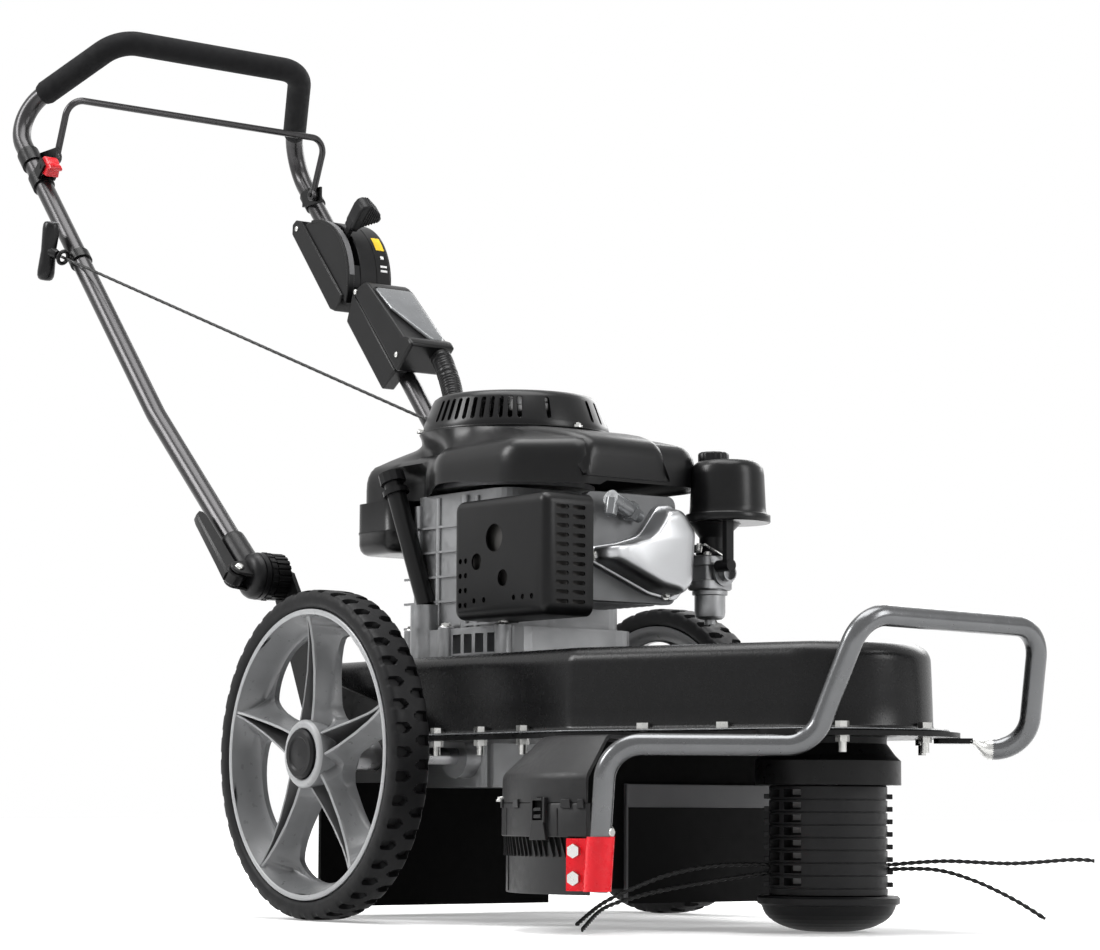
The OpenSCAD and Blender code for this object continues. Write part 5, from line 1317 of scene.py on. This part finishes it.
def make_starter_grip():
    half_long, tilt = 0.038, 12
    place = turn_at(ROPE_GUIDE + ROPE_WAY * 0.028, "Y", tilt) @ Matrix.Translation((0, 0, -half_long))
    grip = [(0, 0), (6, 0.4), (9, 2.2), (10.6, 6), (11, 11), (10.5, 22), (9.6, 38), (10.4, 54), (11, 66),
            (10.6, 71),
            (9.6, 73.6), (8.6, 74.6), (0, 74.7)]
    neck = [(0.0106, 5.2), (0.014, 6.2), (0.020, 7.4), (0.028, 8.8)]
    boss = sweep([ROPE_GUIDE + ROPE_WAY * run for run, r in neck], lambda i, a: neck[i][1], 28)
    piece("starter_handle", join(revolve(grip, 48, place), boss), "shell", "pull", ["starter_grip"],
          smooth=45)
    cap = [(0, 75.6), (6.6, 75.4), (7.8, 74.8), (8, 74.4)]
    piece("starter_handle_cap", revolve(cap, 40, place), "silverp", "pull")


def make_lock_lever():
    T = on_tube(929, -1)
    wedge = [(-10, 30), (-7, 36), (0, 38), (8, 36.4), (12, 38), (19, 37.6), (19, 34), (13.5, 31), (18, 22.5),
             (12, 20),
             (4, 17.6), (-4, 18), (-9, 23)]
    piece("lock_wedge", extrude(T, wedge, 1, (-9, 9)), "redp", "lock", ["lock_lever"], edge=(1.2, 3))
    ribs = [extrude(T, rect(x, x + 1.2, 36, 38.6), 1, (-7.5, 7.5)) for x in (12.6, 14.8, 17)]
    piece("lock_ribs", join(*ribs), "redp", "lock")


make_knuckles()
make_clamp_lever(-1, "right")
make_clamp_lever(1, "left")
make_starter_grip()
make_lock_lever()


# Stage and light
def seen_ray(tree):
    """1 for what the camera sees, straight, mirrored or through glass."""
    path = tree.nodes.new("ShaderNodeLightPath")
    out = path.outputs["Is Camera Ray"]
    for name in ("Is Glossy Ray", "Is Transmission Ray"):
        both = tree.nodes.new("ShaderNodeMath")
        both.operation = "MAXIMUM"
        tree.links.new(out, both.inputs[0])
        tree.links.new(path.outputs[name], both.inputs[1])
        out = both.outputs[0]
    return out


def make_floor():
    """White floor; its glow grows with distance, so that the shadow stays near the machine."""
    reach, glow_near = 30, 0.3
    m = Mat("floor_white")
    c = m.mix(m.span(m.noise(2, 3), 0.3, 0.7, 0, 1), (0.84, 0.84, 0.84), (0.87, 0.87, 0.87))
    m.link(c, m.b.inputs["Base Color"])
    m.b.inputs["Roughness"].default_value = 0.75
    m.b.inputs["Specular IOR Level"].default_value = 0.1
    dist = m.add("ShaderNodeVectorMath", operation="DISTANCE")
    m.link(m.co, dist.inputs[0])
    dist.inputs[1].default_value = (-0.35, 0.05, 0)
    both = m.add("ShaderNodeMath", operation="MULTIPLY")
    m.link(m.span(dist.outputs["Value"], 0.6, 2.0, glow_near, 1.0), both.inputs[0])
    m.link(seen_ray(m.t), both.inputs[1])
    glow = m.add("ShaderNodeEmission")
    glow.inputs["Color"].default_value = (1, 1, 1, 1)
    m.link(both.outputs[0], glow.inputs["Strength"])
    add = m.add("ShaderNodeAddShader")
    m.link(m.b.outputs[0], add.inputs[0])
    m.link(glow.outputs[0], add.inputs[1])
    out = [n for n in m.t.nodes if n.type == "OUTPUT_MATERIAL"][0]
    m.link(add.outputs[0], out.inputs["Surface"])
    me = bpy.data.meshes.new("floor")
    corners = rect(-reach, reach, -reach, reach)
    me.from_pydata([(x, y, -0.0005) for x, y in corners], [], [(0, 1, 2, 3)])
    me.materials.append(m.m)
    ob = bpy.data.objects.new("floor", me)
    scene.collection.objects.link(ob)


def make_world():
    """Dim sky that is lighter above, seen as plain white."""
    world = bpy.data.worlds.new("studio")
    scene.world = world
    world.use_nodes = True
    t = world.node_tree
    t.nodes.clear()
    names = ("OutputWorld", "Background", "Background", "MixShader", "TexCoord", "SeparateXYZ", "ValToRGB",
             "MapRange")
    out, sky, white, mix, co, sep, ramp, height = [t.nodes.new("ShaderNode" + n) for n in names]
    white.inputs["Color"].default_value = (1, 1, 1, 1)
    white.inputs["Strength"].default_value = 1.0
    sky.inputs["Strength"].default_value = 0.27
    height.inputs["From Min"].default_value = -1
    low, high = ramp.color_ramp.elements
    low.position, low.color = 0.42, (0.25, 0.25, 0.25, 1)
    high.position, high.color = 0.9, (0.75, 0.75, 0.75, 1)
    for a, b in ((co.outputs["Generated"], sep.inputs[0]), (sep.outputs["Z"], height.inputs["Value"]),
                 (height.outputs["Result"], ramp.inputs["Fac"]), (ramp.outputs["Color"], sky.inputs["Color"]),
                 (seen_ray(t), mix.inputs["Fac"]), (sky.outputs[0], mix.inputs[1]),
                 (white.outputs[0], mix.inputs[2]),
                 (mix.outputs[0], out.inputs["Surface"])):
        t.links.new(a, b)


def make_lamp(name, place, target, size, size_y, power):
    lamp = bpy.data.lights.new(name, "AREA")
    lamp.shape = "RECTANGLE"
    lamp.size, lamp.size_y, lamp.energy = size, size_y, power
    ob = bpy.data.objects.new(name, lamp)
    ob.location = place
    ob.rotation_euler = (Vector(target) - Vector(place)).to_track_quat("-Z", "Y").to_euler()
    scene.collection.objects.link(ob)


make_floor()
make_world()
make_lamp("top_box", (-0.4, -0.2, 2.9), (-0.45, 0, 0.3), 2.6, 1.6, 95)
make_lamp("right_box", (2.6, 1.2, 1.8), (-0.2, 0, 0.35), 1.0, 1.8, 55)
make_lamp("left_box", (-1.9, -2.5, 2.3), (-0.5, 0, 0.4), 0.9, 1.5, 85)
make_lamp("back_box", (-1.6, 2.8, 1.9), (-0.5, 0, 0.5), 2.2, 1.4, 40)
scene.view_settings.view_transform = "Standard"
